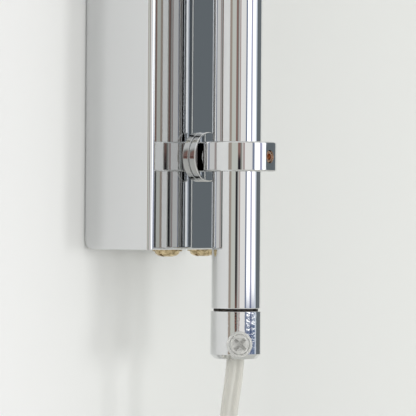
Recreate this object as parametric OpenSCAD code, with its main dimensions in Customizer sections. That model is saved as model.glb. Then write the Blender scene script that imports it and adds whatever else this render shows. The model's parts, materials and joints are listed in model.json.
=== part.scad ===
// Swing arm wall sconce with a plug-in cord.
// A chrome wall box carries an upright post in two clamps. Two folding arms turn on the post's head
// and carry a lamp socket, a harp and an empire shade.
// Millimetres. The wall is the plane y = 0 and the room is towards -Y, +X is to the viewer's right
// and +Z is up. The origin is the middle of the wall bracket's back face.

/* [Wall box] */
// Width of the box along the wall
box_w = 58; // [50:1:76]
// Depth of the box from the wall to its front
box_d = 26; // [21:1:34]
// Height of the box
box_h = 230; // [190:1:280]
// Thickness of the box's sheet
box_wall = 1.2; // [1:0.1:1.5]
// Radius of the box's two upright front corners
box_corner_r = 2; // [1.6:0.1:3]
// Radius of the rolled edges along the front's top and bottom
box_edge_r = 0.8; // [0.6:0.1:1]
// Radius of the side walls' corners next to the wall
box_back_r = 3.2; // [2:0.1:5]

/* [Wall bracket and cover screws] */
// Width of the bracket inside the box
bracket_w = 44; // [36:1:48]
// Thickness of the bracket's steel
bracket_t = 2; // [1.5:0.1:2.5]
// Distance between the two wall screw holes
wall_hole_spacing = 120; // [100:1:144]
// Diameter of the wall screw holes
wall_hole_d = 5; // [4:0.1:6]
// Diameter of the cover screws' thread
cover_screw_d = 4; // [3.2:0.1:5]
// Diameter of the cover screws' washer face
cover_flange_d = 9.7; // [8:0.1:11.6]
// Distance between the two cover screws
cover_screw_spacing = 19.7; // [16:0.1:24]
// Distance from the box's front to the cover screws
cover_screw_inset = 7; // [6:0.1:9]

/* [Post] */
// Outer diameter of the post tube
post_d = 16; // [13:0.1:19.5]
// Wall of the post tube
post_wall = 1; // [0.8:0.1:1.2]
// Length of the stem between a stand-off disc and its clamp
stem_l = 0.3; // [0.2:0.1:1.5]
// Length of post below the box
post_drop = 19; // [15:1:24]
// Length of post above the box
post_rise = 31; // [26:1:38]

/* [Clamps] */
// Distance from the box's ends to the clamps' centres
clamp_inset = 30.3; // [25:0.1:37]
// Height of each clamp
clamp_h = 9.7; // [8:0.1:11.7]
// Wall of the clamp on each side of the post
clamp_side_wall = 4.05; // [3.3:0.05:4.9]
// Wall of the clamp behind the post
clamp_back_wall = 2.55; // [2.1:0.05:3.1]
// Wall of the clamp in front of the post, which the set screw goes through
clamp_nose_wall = 4.85; // [4:0.05:5.9]
// Width of the clamp's flat nose
nose_w = 4.2; // [3.5:0.1:5]
// Width of the stem behind the clamp
stem_w = 6.4; // [5.8:0.1:7.7]
// Radius between the stem and the clamp
stem_fillet_r = 0.6; // [0.4:0.1:0.8]
// Diameter of the stand-off discs
disc_d = 16.3; // [13:0.1:20]
// Thickness of the stand-off discs
disc_t = 2.6; // [2:0.1:3.2]
// Diameter of the set screws
set_screw_d = 4; // [3.2:0.1:4.4]
// Diameter of the bolts that hold the clamps to the box
clamp_bolt_d = 5; // [4:0.1:5.4]

/* [End cap and cord] */
// How far the end cap stands out past the post all round
end_cap_lip = 0.25; // [0.1:0.05:0.6]
// Height of the end cap below its groove
end_cap_h = 15.4; // [12.8:0.1:18.5]
// Height of the groove between the post and its cap
cap_groove_h = 0.8; // [0.6:0.1:1]
// Diameter of the cord grip screw's head
grip_head_d = 8.4; // [7:0.1:10]
// Height of the grip screw above the cap's bottom
grip_z = 4.9; // [4.1:0.1:5.9]
// Direction that the grip screw faces, from straight out, negative to the left
grip_angle = -49; // [-58:1:-41]
// Width of the flat cord
cord_w = 5.8; // [5:0.1:6.4]
// Thickness of the flat cord
cord_t = 3; // [2.5:0.1:3.4]

/* [Arms] */
// Length of each arm, axis to axis
arm_len = 200; // [160:1:250]
// Outer diameter of the arm tubes
arm_d = 12; // [10:0.1:12.8]
// Wall of the arm tubes
arm_wall = 1; // [0.8:0.1:1.2]
// Outer diameter of the swivel hubs
hub_d = 21; // [19:0.1:25.2]
// Height of the swivel hubs
hub_h = 20; // [19:0.1:24]
// Floor of the swivel hubs
hub_floor = 3; // [2.5:0.1:3.2]
// Side wall of the swivel hubs
hub_wall = 2.5; // [1.6:0.1:2.6]
// Diameter of the hollow nipples that the arms turn on
nipple_d = 10; // [9:0.1:10.6]
// Angle of the inner arm as drawn, from straight out, positive to the right
inner_rest = 50; // [40:1:60]
// Angle of the outer arm as drawn, from straight out, positive to the right
outer_rest = -50; // [-60:1:-40]

/* [Lamp socket, bulb and harp] */
// Length of the sleeve between the arm and the harp saddle
riser_h = 15; // [12:1:18]
// Outer diameter of the socket's shell
socket_d = 34.8; // [34:0.1:42]
// Diameter of the bulb
bulb_d = 60; // [50:1:64]
// Height of the harp from the saddle to its top
harp_h = 148; // [143:1:178]
// Half of the harp's greatest width
harp_reach = 42; // [40:0.1:50]
// Distance from the socket's side to the axis of each of the harp's feet
harp_foot_gap = 4.6; // [4:0.1:6]
// Diameter of the harp's wire
harp_wire_d = 3; // [2.5:0.1:3.6]

/* [Shade] */
// Height of the shade
shade_h = 180; // [170:1:216]
// Diameter at the bottom of the shade
shade_bottom_d = 250; // [208:1:300]
// Diameter at the top of the shade
shade_top_d = 130; // [108:1:156]
// Thickness of the shade's linen and its lining
shade_t = 0.8; // [0.6:0.1:1]
// Gap between the outer arm and the shade
shade_gap = 6.4; // [5:0.1:8]

/* [Hidden] */

$fn = 64;
eps = 0.01;            // overshoot of cuts past a face
run_gap = 0.05;        // radial clearance of what turns or slides
thread_gap = 0.02;     // radial clearance drawn between a thread and its hole
seat_gap = 0.1;        // clearance between a turning floor and the nut above it
edge_c = 0.5;          // chamfer on turned parts' edges

box_top = box_h / 2;
box_inner_d = box_d - box_wall;
bracket_h = box_h - 2 * (box_wall + 0.2);
tab_d = box_inner_d - 1.8;
cover_screw_y = -(box_d - cover_screw_inset);

post_r = post_d / 2;
clamp_bore_r = post_r + run_gap;
post_standoff = disc_t + stem_l + clamp_back_wall + clamp_bore_r;  // box front to the post's axis
post_y = -(box_d + post_standoff);
post_bottom = -(box_top + post_drop);
post_top = box_top + post_rise;
post_bore_r = post_r - post_wall;

clamp_z = box_top - clamp_inset;
nose_reach = clamp_bore_r + clamp_nose_wall;
stem_y = post_standoff - disc_t;          // from the post's axis back to the disc's front
bolt_r = clamp_bolt_d / 2;
bolt_washer_t = 1;
bolt_head_h = 3.5;
bolt_head_across = 8;
set_screw_r = set_screw_d / 2;

end_cap_d = post_d + 2 * end_cap_lip;
cap_top = post_bottom - cap_groove_h;
cap_bottom = cap_top - end_cap_h;
cap_bore_r = 3.6;
cap_spigot_h = 10;
grip_shank_r = 2;
grip_stand = 0.1;                          // the head's back face clears the cap's curve by this

arm_r = arm_d / 2;
nipple_r = nipple_d / 2;
nipple_bore_r = 3.2;
nut_h = 3.2;
nut_r = nipple_r + 2.4;                    // across the corners of the hexagon
nipple_proud = 0.6;                        // thread showing past a locknut
hub_r = hub_d / 2;
chamber_r = hub_r - hub_wall;
hub_cap_t = 1.2;
hub_dome_h = 3;
washer_t = 0.8;
head_collar_h = 10;
head_spigot_h = 20;
head_floor_h = 7;
head_top = post_top + head_collar_h;
hub1_z = head_top + washer_t;              // underside of the hubs on the inner arm
arm1_z = hub1_z + hub_h / 2;
hub2_z = hub1_z + hub_h + washer_t;        // underside of the hubs on the outer arm
arm2_z = hub2_z + hub_h / 2;
elbow = [arm_len * sin(inner_rest), post_y - arm_len * cos(inner_rest), 0];
lamp = elbow + [arm_len * sin(outer_rest), -arm_len * cos(outer_rest), 0];

riser_z = hub2_z + hub_h;
saddle_z = riser_z + riser_h;
saddle_t = 1.5;
saddle_w = 12;
saddle_prong_h = 8;
harp_top = saddle_z + harp_h;
harp_waist_z = saddle_z + harp_h * 0.52;   // height of the harp's greatest width
harp_stud_r = 3;
harp_stud_h = 14;
ferrule_r = 2.8;
socket_z = saddle_z + saddle_t;
socket_r = socket_d / 2;
harp_foot = socket_r + harp_foot_gap;      // from the harp's axis to its feet
socket_sheet = 0.8;
socket_cap_h = 16;
socket_cone_h = 9;
socket_shell_h = 33;
liner_r = socket_r - socket_sheet - 0.1;
liner_t = 0.8;
core_z = socket_z + 10;
core_h = 16;
core_r = liner_r - liner_t - 0.1;
key_z = socket_z + 20.5;
key_r = 1.5;
screw_shell_r = 13.8;
bulb_base_r = 13.1;
bulb_z = core_z + core_h + 3;              // tip of the bulb's centre contact
bulb_neck_z = bulb_z + 26;
bulb_centre_z = bulb_z + 111 - bulb_d / 2;

shade_z = arm2_z + arm_r + shade_gap;
shade_top = shade_z + shade_h;
shade_wire_r = 1.25;
spider_z = harp_top + 2;
spider_t = 1.4;

// The cord's free stretches. Where it isn't in the hank its points are chosen by hand.
cord_face = -55;                           // direction of the cord's broad side at the cap
lead_route = [[0, -39.5, -150.2], [0, -39.3, -153], [0, -38.8, -157], [0, -38.1, -161.5],
    [0, -37.3, -166.5], [0, -36.6, -171.5], [0, -36, -177], [0, -35.5, -182],
    [0, -35, -188], [0.1, -34, -195], [0.3, -32.2, -203]];
tail_route = [[2.4, -12, -300], [1.7, -10, -310], [1.1, -9.2, -318], [0.6, -9, -328],
    [0.2, -9, -337], [0, -9, -346]];
hank_centre = [0, -22, -254];
hank_run = 92;                             // straight height between the two folds' centres
hank_fold_r = 17.4;                        // inner strands' fold, three widths of the cord
hank_pitch = 3.2;                          // from strand to strand through the cord's thickness
hank_layer = 6;                            // from strand to strand across the cord's width
hank_waist = 1.7;                          // inner strands' distance from the middle at the tie
tie_h = 6;
tie_t = 0.8;
plug_top = -346;
plug_y = -9;
relief_h = 24;
plug_h = 26;
blade_l = 17.5;

chrome = [0.82, 0.84, 0.85];
brass = [0.72, 0.58, 0.34];
steel = [0.62, 0.63, 0.64];
clear_plastic = [0.87, 0.88, 0.87, 0.6];

// ---- Shared shapes ----

// The cutter that leaves a round corner at the origin's upper right
module corner_cut(r) {
    difference() {
        square([r + 1, r + 1]);
        circle(r = r);
    }
}

// Plan of the box: a rectangle with its front corners rounded
module box_plan(w, d, r) {
    difference() {
        translate([-w / 2, -d]) square([w, d]);
        for (side = [0, 1]) mirror([side, 0]) translate([w / 2 - r, -d + r]) mirror([0, 1])
            corner_cut(r);
    }
}

// Side view of the box: front corners with one radius and wall corners with another
module box_side(d, h, r, back_r) {
    difference() {
        translate([-d, -h / 2]) square([d, h]);
        for (end = [0, 1]) mirror([0, end]) {
            translate([-d + r, h / 2 - r]) mirror([1, 0]) corner_cut(r);
            translate([-back_r, h / 2 - back_r]) corner_cut(back_r);
        }
    }
}

// A cylinder whose axis points straight out of the wall, from y = -from to y = -to
module out_rod(r, from, to) {
    translate([0, -from, 0]) rotate([90, 0, 0]) cylinder(r = r, h = to - from);
}

// A turned part: an outline of [radius, height] points, spun round the upright axis
module turned(outline) {
    rotate_extrude() polygon(outline);
}

// A hollow rod with chamfered outer ends
module turned_tube(r, bore, z0, z1, c = 0.3) {
    turned([[bore, z0], [r - c, z0], [r, z0 + c], [r, z1 - c], [r - c, z1], [bore, z1]]);
}

module hex_nut(bore, h) {
    difference() {
        cylinder(r = nut_r, h = h, $fn = 6);
        translate([0, 0, -1]) cylinder(r = bore, h = h + 2);
    }
}

// A swivel hub: a cup with its floor at z = 0 and an arm's socket in its side, towards -Y
module hub_cup(floor_bore) {
    difference() {
        turned([[floor_bore, 0], [hub_r - edge_c, 0], [hub_r, edge_c], [hub_r, hub_h - 0.2],
            [hub_r - 0.2, hub_h], [chamber_r, hub_h], [chamber_r, hub_floor],
            [floor_bore, hub_floor]]);
        translate([0, 0, hub_h / 2]) out_rod(arm_r + thread_gap, chamber_r - 2, hub_r + 1);
    }
}

// The domed plug that closes a hub's open end, with its seat at z = 0
module hub_dome() {
    dome_r = hub_r - 1;
    ball_r = (dome_r * dome_r + hub_dome_h * hub_dome_h) / (2 * hub_dome_h);
    translate([0, 0, -2.5]) cylinder(r = chamber_r - thread_gap, h = 2.5 + eps);
    turned([[0, 0], [hub_r - 0.2, 0], [hub_r, 0.2], [hub_r, hub_cap_t - 0.3],
        [hub_r - 0.3, hub_cap_t], [0, hub_cap_t]]);
    intersection() {
        translate([0, 0, hub_cap_t + hub_dome_h - ball_r]) sphere(r = ball_r, $fn = 96);
        translate([0, 0, hub_cap_t - eps]) cylinder(r = dome_r - 0.1, h = hub_dome_h + 1);
    }
}

// An arm's tube from one hub's chamber to the next, towards -Y
module arm_tube() {
    difference() {
        out_rod(arm_r, chamber_r, arm_len - chamber_r);
        out_rod(arm_r - arm_wall, chamber_r - 1, arm_len - chamber_r + 1);
    }
}

// The section of the twin lead: two lobes side by side along X
module twin_section() {
    for (side = [-1, 1]) translate([side * (cord_w - cord_t) / 2, 0]) circle(d = cord_t);
}

// The lead lying in an arm, then standing at the arm's far end up to a height
module arm_lead(rise) {
    rotate([90, 0, 0]) linear_extrude(arm_len) twin_section();
    translate([0, -arm_len, 0]) linear_extrude(rise) twin_section();
}

// A flat solid swept down a route. Its rings lie level, because the cord hangs nearly upright,
// and its broad side turns evenly from one direction to the other.
module hanging_tube(route, face_from, face_to) {
    sides = 8;
    last = len(route) - 1;
    turn = [for (i = [0:last]) face_from + (face_to - face_from) * i / last];
    points = [for (i = [0:last]) for (k = [0:sides - 1])
        let (u = cord_w / 2 * cos(360 * k / sides), v = cord_t / 2 * sin(360 * k / sides))
        route[i] + [u * cos(turn[i]) - v * sin(turn[i]), u * sin(turn[i]) + v * cos(turn[i]), 0]];
    walls = [for (i = [0:last - 1]) for (k = [0:sides - 1])
        let (a = i * sides + k, b = i * sides + (k + 1) % sides)
        each [[a, b, b + sides], [a, b + sides, a + sides]]];
    top = [for (k = [0:sides - 1]) sides - 1 - k];
    bottom = [for (k = [0:sides - 1]) last * sides + k];
    polyhedron(points, concat([top], walls, [bottom]));
}

module at_post() translate([0, post_y, 0]) children();
module at_inner_arm() at_post() rotate([0, 0, inner_rest]) children();
module at_elbow() translate(elbow) rotate([0, 0, outer_rest]) children();
module at_lamp() translate(lamp) children();

// ---- Wall box, bracket and clamps ----

module wall_box() {
    inner_h = box_h - 2 * box_wall;
    inner_r = max(box_corner_r - box_wall, 0.3);
    color(chrome) difference() {
        intersection() {
            linear_extrude(box_h, center = true) box_plan(box_w, box_d, box_corner_r);
            rotate([90, 0, 90]) linear_extrude(box_w, center = true)
                box_side(box_d, box_h, box_edge_r, box_back_r);
        }
        linear_extrude(inner_h, center = true) union() {
            box_plan(box_w - 2 * box_wall, box_inner_d, inner_r);
            translate([-box_w / 2 + box_wall, -1]) square([box_w - 2 * box_wall, 2]);
        }
        for (end = [-1, 1]) translate([0, 0, end * clamp_z])
            out_rod(bolt_r + 0.2, box_inner_d - 1, box_d + 1);
        for (side = [-1, 1])
            translate([side * cover_screw_spacing / 2, cover_screw_y, -box_top - 1])
                cylinder(r = cover_screw_d / 2 + 0.3, h = box_wall + 2);
    }
}

module wall_bracket() {
    color(steel) difference() {
        union() {
            translate([-bracket_w / 2, -bracket_t, -bracket_h / 2])
                cube([bracket_w, bracket_t, bracket_h]);
            for (end = [0, 1]) mirror([0, 0, end])
                translate([-bracket_w / 2, -tab_d, -bracket_h / 2])
                    cube([bracket_w, tab_d, bracket_t]);
        }
        for (end = [-1, 1]) translate([0, 0, end * wall_hole_spacing / 2])
            out_rod(wall_hole_d / 2, -1, bracket_t + 1);
        for (side = [-1, 1])
            translate([side * cover_screw_spacing / 2, cover_screw_y, -bracket_h / 2 - 1])
                cylinder(r = cover_screw_d / 2 + thread_gap, h = bracket_t + 2);
    }
}

module cover_screws() {
    shank_l = box_wall + bracket_t + 2.4;
    flange_t = 0.6;
    head_r = cover_flange_d * 0.43;
    color(brass) for (side = [-1, 1])
        translate([side * cover_screw_spacing / 2, cover_screw_y, -box_top]) difference() {
            union() {
                cylinder(r = cover_screw_d / 2, h = shank_l);
                translate([0, 0, -flange_t]) cylinder(d = cover_flange_d, h = flange_t);
                translate([0, 0, -flange_t - 1.7])
                    cylinder(r1 = head_r * 0.6, r2 = head_r, h = 1.7);
            }
            translate([0, 0, -flange_t - 1.7]) cube([2 * head_r, 1, 1.6], center = true);
        }
}

module standoff_disc(z) {
    r = disc_d / 2;
    color(chrome) translate([0, -box_d, z]) rotate([90, 0, 0])
        turned([[bolt_r + 0.1, 0], [r, 0], [r, disc_t - 0.4], [r - 0.4, disc_t],
            [bolt_r + 0.1, disc_t]]);
}

// Plan of a clamp round the post's axis: two round sides, a flat nose, and the stem with its two
// fillets. Each side is the one arc that reaches the clamp's width and its back and ends at the nose.
module clamp_plan() {
    half_w = clamp_bore_r + clamp_side_wall;
    back = clamp_bore_r + clamp_back_wall;
    inset = half_w - nose_w / 2;
    depth = nose_reach + back;
    side_r = inset + depth - sqrt(2 * inset * depth);
    centre = [half_w - side_r, back - side_r];
    nose_from = atan2(-nose_reach - centre[1], nose_w / 2 - centre[0]);
    gap_at_stem = stem_y - centre[1] - sqrt(pow(side_r, 2) - pow(stem_w / 2 - centre[0], 2));
    fillet_r = min(stem_fillet_r, gap_at_stem);
    c = [stem_w / 2 + fillet_r, centre[1] + sqrt(pow(side_r + fillet_r, 2)
        - pow(stem_w / 2 + fillet_r - centre[0], 2))];
    stem_from = atan2(c[1] - centre[1], c[0] - centre[0]);
    side = [for (i = [0:32]) let (a = nose_from + (stem_from - nose_from) * i / 32)
        centre + side_r * [cos(a), sin(a)]];
    fillet = [for (i = [1:6]) let (a = stem_from + 180 + (-stem_from) * i / 6)
        c + fillet_r * [cos(a), sin(a)]];
    right = concat(side, fillet, [[stem_w / 2, stem_y]]);
    left = [for (i = [len(right) - 1:-1:0]) [-right[i][0], right[i][1]]];
    polygon(concat(right, left));
}

module clamp(z) {
    color(chrome) at_post() translate([0, 0, z]) difference() {
        linear_extrude(clamp_h, center = true) clamp_plan();
        cylinder(r = clamp_bore_r, h = clamp_h + 2, center = true);
        out_rod(bolt_r + thread_gap, -stem_y - 1, -clamp_bore_r + 1);
        out_rod(set_screw_r + thread_gap, clamp_bore_r - 1, nose_reach + 1);
    }
}

module clamp_set_screws() {
    tip = post_r + 0.15;
    head = nose_reach - 0.3;
    color(brass) for (end = [-1, 1]) at_post() translate([0, 0, end * clamp_z]) difference() {
        out_rod(set_screw_r, tip, head);
        translate([0, -head - 1, 0]) rotate([-90, 0, 0]) cylinder(d = 2.3, h = 2.8, $fn = 6);
    }
}

module clamp_bolts() {
    head_back = box_inner_d - bolt_washer_t;
    color(steel) for (end = [-1, 1]) translate([0, 0, end * clamp_z]) {
        out_rod(bolt_r, head_back - 1, -post_y - clamp_bore_r - 0.4);
        translate([0, -head_back + bolt_head_h, 0]) rotate([90, 30, 0])
            cylinder(d = bolt_head_across / cos(30), h = bolt_head_h, $fn = 6);
    }
}

module clamp_washers() {
    color(steel) for (end = [-1, 1]) translate([0, 0, end * clamp_z]) difference() {
        out_rod(bolt_head_across / 2 + 1, box_inner_d - bolt_washer_t, box_inner_d);
        out_rod(bolt_r + 0.1, box_inner_d - 3, box_inner_d + 1);
    }
}

// ---- Post, its ends and the cord ----

module post_tube() {
    color(chrome) at_post() turned_tube(post_r, post_bore_r, post_bottom, post_top, 0.4);
}

module post_end_cap() {
    r = end_cap_d / 2;
    spigot_r = post_bore_r - thread_gap;
    neck_r = post_bore_r + 0.25;
    color(chrome) at_post() difference() {
        turned([[cap_bore_r, cap_bottom], [r - 1.4, cap_bottom], [r, cap_bottom + 1.5],
            [r, cap_top - 0.3], [r - 0.3, cap_top], [neck_r, cap_top], [neck_r, post_bottom],
            [spigot_r, post_bottom], [spigot_r, post_bottom + cap_spigot_h],
            [cap_bore_r, post_bottom + cap_spigot_h]]);
        translate([0, 0, cap_bottom + grip_z]) rotate([0, 0, grip_angle])
            out_rod(grip_shank_r + thread_gap, cap_bore_r - 1, r + 1);
    }
}

module cord_grip_screw() {
    seat = end_cap_d / 2 + grip_stand;
    head_t = 2;
    color(clear_plastic) at_post() translate([0, 0, cap_bottom + grip_z])
        rotate([0, 0, grip_angle]) difference() {
            union() {
                out_rod(grip_shank_r, cord_t / 2 + 0.3, seat + 1);
                out_rod(grip_head_d / 2, seat, seat + head_t);
            }
            for (turn = [0, 90]) translate([0, -seat - head_t, 0]) rotate([0, turn, 0])
                cube([grip_head_d * 0.55, 2.2, 1], center = true);
        }
}

module post_head() {
    color(chrome) at_post() turned([[4, post_top - head_spigot_h],
        [post_bore_r - thread_gap, post_top - head_spigot_h], [post_bore_r - thread_gap, post_top],
        [hub_r - edge_c, post_top], [hub_r, post_top + edge_c], [hub_r, head_top - edge_c],
        [hub_r - edge_c, head_top], [nipple_r + thread_gap, head_top],
        [nipple_r + thread_gap, head_top - head_floor_h], [4, head_top - head_floor_h]]);
}

module post_nipple() {
    color(brass) at_post() turned_tube(nipple_r, nipple_bore_r, head_top - head_floor_h,
        hub1_z + hub_floor + seat_gap + nut_h + nipple_proud);
}

module post_locknut() {
    color(brass) at_post() translate([0, 0, hub1_z + hub_floor + seat_gap])
        hex_nut(nipple_r + thread_gap, nut_h);
}

module swivel_washer() {
    difference() {
        cylinder(r = hub_r - 0.6, h = washer_t);
        translate([0, 0, -1]) cylinder(r = nipple_r + 0.1, h = washer_t + 2);
    }
}

module post_washer() {
    color("ivory") at_post() translate([0, 0, head_top]) swivel_washer();
}

module post_lead() {
    color(clear_plastic) at_post() translate([0, 0, cap_bottom]) rotate([0, 0, cord_face])
        linear_extrude(arm1_z - cord_t / 2 - 0.2 - cap_bottom) twin_section();
}

module supply_cord() {
    color(clear_plastic) hanging_tube(lead_route, cord_face, -90);
}

// Half of the hank's width at a height above its middle: pinched at the tie, round at the folds
function hank_half(z) = let (outer = hank_fold_r + hank_pitch, waist = hank_waist + hank_pitch)
    waist + (outer - waist) * (1 - cos(180 * z / (hank_run / 2))) / 2 + cord_t / 2 + 0.1;

module cord_hank() {
    fold_r = hank_half(hank_run / 2);
    steps = 10;
    waist_side = [for (i = [-steps + 1:steps - 1])
        let (z = hank_run / 2 * i / steps) [hank_half(z), z]];
    fold = [for (i = [0:2 * steps])
        [fold_r * cos(90 * i / steps), hank_run / 2 + fold_r * sin(90 * i / steps)]];
    outline = concat(waist_side, fold, [for (p = waist_side) -p], [for (p = fold) -p]);
    depth = 2 * hank_layer + cord_w + 0.2;
    color(clear_plastic) translate(hank_centre) rotate([90, 0, 0])
        linear_extrude(depth, center = true) polygon(outline);
}

module hank_tie() {
    inner = [2 * hank_half(tie_h / 2) + 0.1, 2 * hank_layer + cord_w + 0.4, tie_h + 2];
    color([0.16, 0.16, 0.17]) translate(hank_centre) difference() {
        cube([inner[0] + 2 * tie_t, inner[1] + 2 * tie_t, tie_h], center = true);
        cube(inner, center = true);
    }
}

module cord_tail() {
    color(clear_plastic) hanging_tube(tail_route, -90, 0);
}

// Two-blade plug that hangs at the cord's end, with its tapered strain relief
module plug_body() {
    body_w = 25;
    body_t = 13;
    color(clear_plastic) translate([0, plug_y, plug_top]) {
        translate([0, 0, -relief_h]) difference() {
            cylinder(r1 = 5.4, r2 = 3.9, h = relief_h);
            for (z = [5, 9, 13, 17]) translate([0, 0, z]) difference() {
                cylinder(r = 7, h = 1.6);
                translate([0, 0, -1]) cylinder(r = 3.6, h = 4);
            }
        }
        translate([0, 0, -relief_h - plug_h]) intersection() {
            linear_extrude(plug_h + eps) difference() {
                translate([-body_w / 2, -body_t / 2]) square([body_w, body_t]);
                for (side = [0, 1], face = [0, 1]) mirror([side, 0]) mirror([0, face])
                    translate([body_w / 2 - 4, body_t / 2 - 4]) corner_cut(4);
            }
            translate([0, 0, plug_h / 2]) rotate([90, 0, 0])
                linear_extrude(body_t + 2, center = true)
                    polygon([[-body_w / 2, -plug_h / 2], [body_w / 2, -plug_h / 2],
                        [body_w / 2, 2], [7, plug_h / 2], [-7, plug_h / 2], [-body_w / 2, 2]]);
        }
    }
}

module plug_blades() {
    blade_gap = 12.7;
    blade_t = 1.5;
    blade_w = 6.3;
    color(brass) for (side = [-1, 1])
        translate([side * blade_gap / 2, plug_y, plug_top - relief_h - plug_h - blade_l])
            difference() {
                translate([-blade_t / 2, -blade_w / 2, 0]) cube([blade_t, blade_w, blade_l]);
                translate([0, 0, 4.5]) rotate([0, 90, 0]) cylinder(r = 1.5, h = 4, center = true);
            }
}

// ---- Inner arm ----

module inner_arm_hub() {
    color(chrome) at_inner_arm() translate([0, 0, hub1_z]) hub_cup(nipple_r + run_gap);
}

module inner_hub_cap() {
    color(chrome) at_inner_arm() translate([0, 0, hub1_z + hub_h]) hub_dome();
}

module inner_arm_tube() {
    color(chrome) at_inner_arm() translate([0, 0, arm1_z]) arm_tube();
}

// At the elbow the lower hub stands upside down, with its floor under the washer
module elbow_lower_hub() {
    color(chrome) at_inner_arm() translate([0, -arm_len, hub1_z + hub_h]) mirror([0, 0, 1])
        mirror([0, 1, 0]) hub_cup(nipple_r + thread_gap);
}

module elbow_lower_cap() {
    color(chrome) at_inner_arm() translate([0, -arm_len, hub1_z]) mirror([0, 0, 1]) hub_dome();
}

module elbow_nipple() {
    color(brass) translate(elbow) turned_tube(nipple_r, nipple_bore_r,
        hub1_z + hub_h - hub_floor - nut_h - nipple_proud,
        hub2_z + hub_floor + seat_gap + nut_h + nipple_proud);
}

module elbow_locknuts() {
    color(brass) translate(elbow)
        for (z = [hub1_z + hub_h - hub_floor - nut_h, hub2_z + hub_floor + seat_gap])
            translate([0, 0, z]) hex_nut(nipple_r + thread_gap, nut_h);
}

module elbow_washer() {
    color("ivory") translate(elbow) translate([0, 0, hub1_z + hub_h]) swivel_washer();
}

module inner_arm_lead() {
    color(clear_plastic) at_inner_arm() translate([0, 0, arm1_z])
        arm_lead(arm2_z - arm1_z - cord_t / 2 - 0.2);
}

// ---- Outer arm ----

module elbow_upper_hub() {
    color(chrome) at_elbow() translate([0, 0, hub2_z]) hub_cup(nipple_r + run_gap);
}

module elbow_upper_cap() {
    color(chrome) at_elbow() translate([0, 0, hub2_z + hub_h]) hub_dome();
}

module outer_arm_tube() {
    color(chrome) at_elbow() translate([0, 0, arm2_z]) arm_tube();
}

module arm_end_hub() {
    color(chrome) at_elbow() translate([0, -arm_len, hub2_z + hub_h]) mirror([0, 0, 1])
        mirror([0, 1, 0]) hub_cup(nipple_r + thread_gap);
}

module arm_end_cap() {
    color(chrome) at_elbow() translate([0, -arm_len, hub2_z]) mirror([0, 0, 1]) hub_dome();
}

module riser_nipple() {
    color(brass) at_lamp() turned_tube(nipple_r, nipple_bore_r,
        riser_z - hub_floor - nut_h - nipple_proud, socket_z + socket_sheet + nut_h + nipple_proud);
}

module riser_locknuts() {
    color(brass) at_lamp() for (z = [riser_z - hub_floor - nut_h, socket_z + socket_sheet])
        translate([0, 0, z]) hex_nut(nipple_r + thread_gap, nut_h);
}

module riser_sleeve() {
    color(chrome) at_lamp() turned_tube(nipple_r + 2.5, nipple_r + thread_gap, riser_z, saddle_z, 0.6);
}

module harp_saddle() {
    color(chrome) at_lamp() translate([0, 0, saddle_z]) {
        difference() {
            translate([-harp_foot - 2.4, -saddle_w / 2, 0])
                cube([2 * harp_foot + 4.8, saddle_w, saddle_t]);
            translate([0, 0, -1]) cylinder(r = nipple_r + thread_gap, h = saddle_t + 2);
        }
        for (side = [-1, 1]) translate([side * harp_foot, 0, saddle_t - eps])
            cylinder(r = harp_wire_d / 2 + 0.5, h = saddle_prong_h);
    }
}

// One side of the harp's bow, from its foot to its top, as [x, z]. It leaves the foot upright.
function harp_side(n) = let (foot_z = saddle_z + saddle_t + saddle_prong_h, swell_z = foot_z + 2,
        rise = harp_waist_z - swell_z, crown = harp_top - harp_waist_z)
    concat([[harp_foot, foot_z]],
        [for (i = [0:n]) let (u = i / n)
            [harp_foot + (harp_reach - harp_foot) * (1 - cos(180 * u)) / 2, swell_z + rise * u]],
        [for (i = [1:n]) let (a = 90 * i / n)
            [harp_reach * cos(a), harp_waist_z + crown * sin(a)]]);

// The harp's wire swept round its bow, with the threaded stud on top
module harp() {
    sides = 8;
    half = harp_side(9);
    half_last = len(half) - 1;
    bow = concat(half, [for (i = [1:half_last]) let (p = half[half_last - i]) [-p[0], p[1]]]);
    last = len(bow) - 1;
    points = [for (i = [0:last]) let (a = bow[max(i - 1, 0)], b = bow[min(i + 1, last)],
            d = (b - a) / norm(b - a)) for (k = [0:sides - 1])
        let (u = harp_wire_d / 2 * cos(360 * k / sides), v = harp_wire_d / 2 * sin(360 * k / sides))
        [bow[i][0] + d[1] * u, v, bow[i][1] - d[0] * u]];
    walls = [for (i = [0:last - 1]) for (k = [0:sides - 1])
        let (a = i * sides + k, b = i * sides + (k + 1) % sides)
        each [[a, b + sides, b], [a, a + sides, b + sides]]];
    first_end = [for (k = [0:sides - 1]) k];
    last_end = [for (k = [0:sides - 1]) last * sides + sides - 1 - k];
    color(chrome) at_lamp() {
        polyhedron(points, concat([first_end], walls, [last_end]));
        translate([0, 0, harp_top - 1]) cylinder(r = harp_stud_r, h = harp_stud_h + 1);
        translate([0, 0, harp_top - 1]) cylinder(r = harp_stud_r + 3, h = 3);
    }
}

module harp_ferrules() {
    foot_z = saddle_z + saddle_t + saddle_prong_h;
    prong_r = harp_wire_d / 2 + 0.5;
    color(chrome) at_lamp() for (side = [-1, 1]) translate([side * harp_foot, 0, 0])
        turned_tube(ferrule_r, prong_r + thread_gap, foot_z - 6, foot_z + 0.5, 0.2);
}

module socket_cap() {
    r = socket_r + 0.1;
    neck_r = nut_r + 0.9;
    color(chrome) at_lamp() translate([0, 0, socket_z])
        turned([[nipple_r + thread_gap, 0], [neck_r, 0], [r, socket_cone_h], [r, socket_cap_h],
            [r - socket_sheet, socket_cap_h], [r - socket_sheet, socket_cone_h + 0.3],
            [neck_r - 0.5, socket_sheet], [nipple_r + thread_gap, socket_sheet]]);
}

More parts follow.
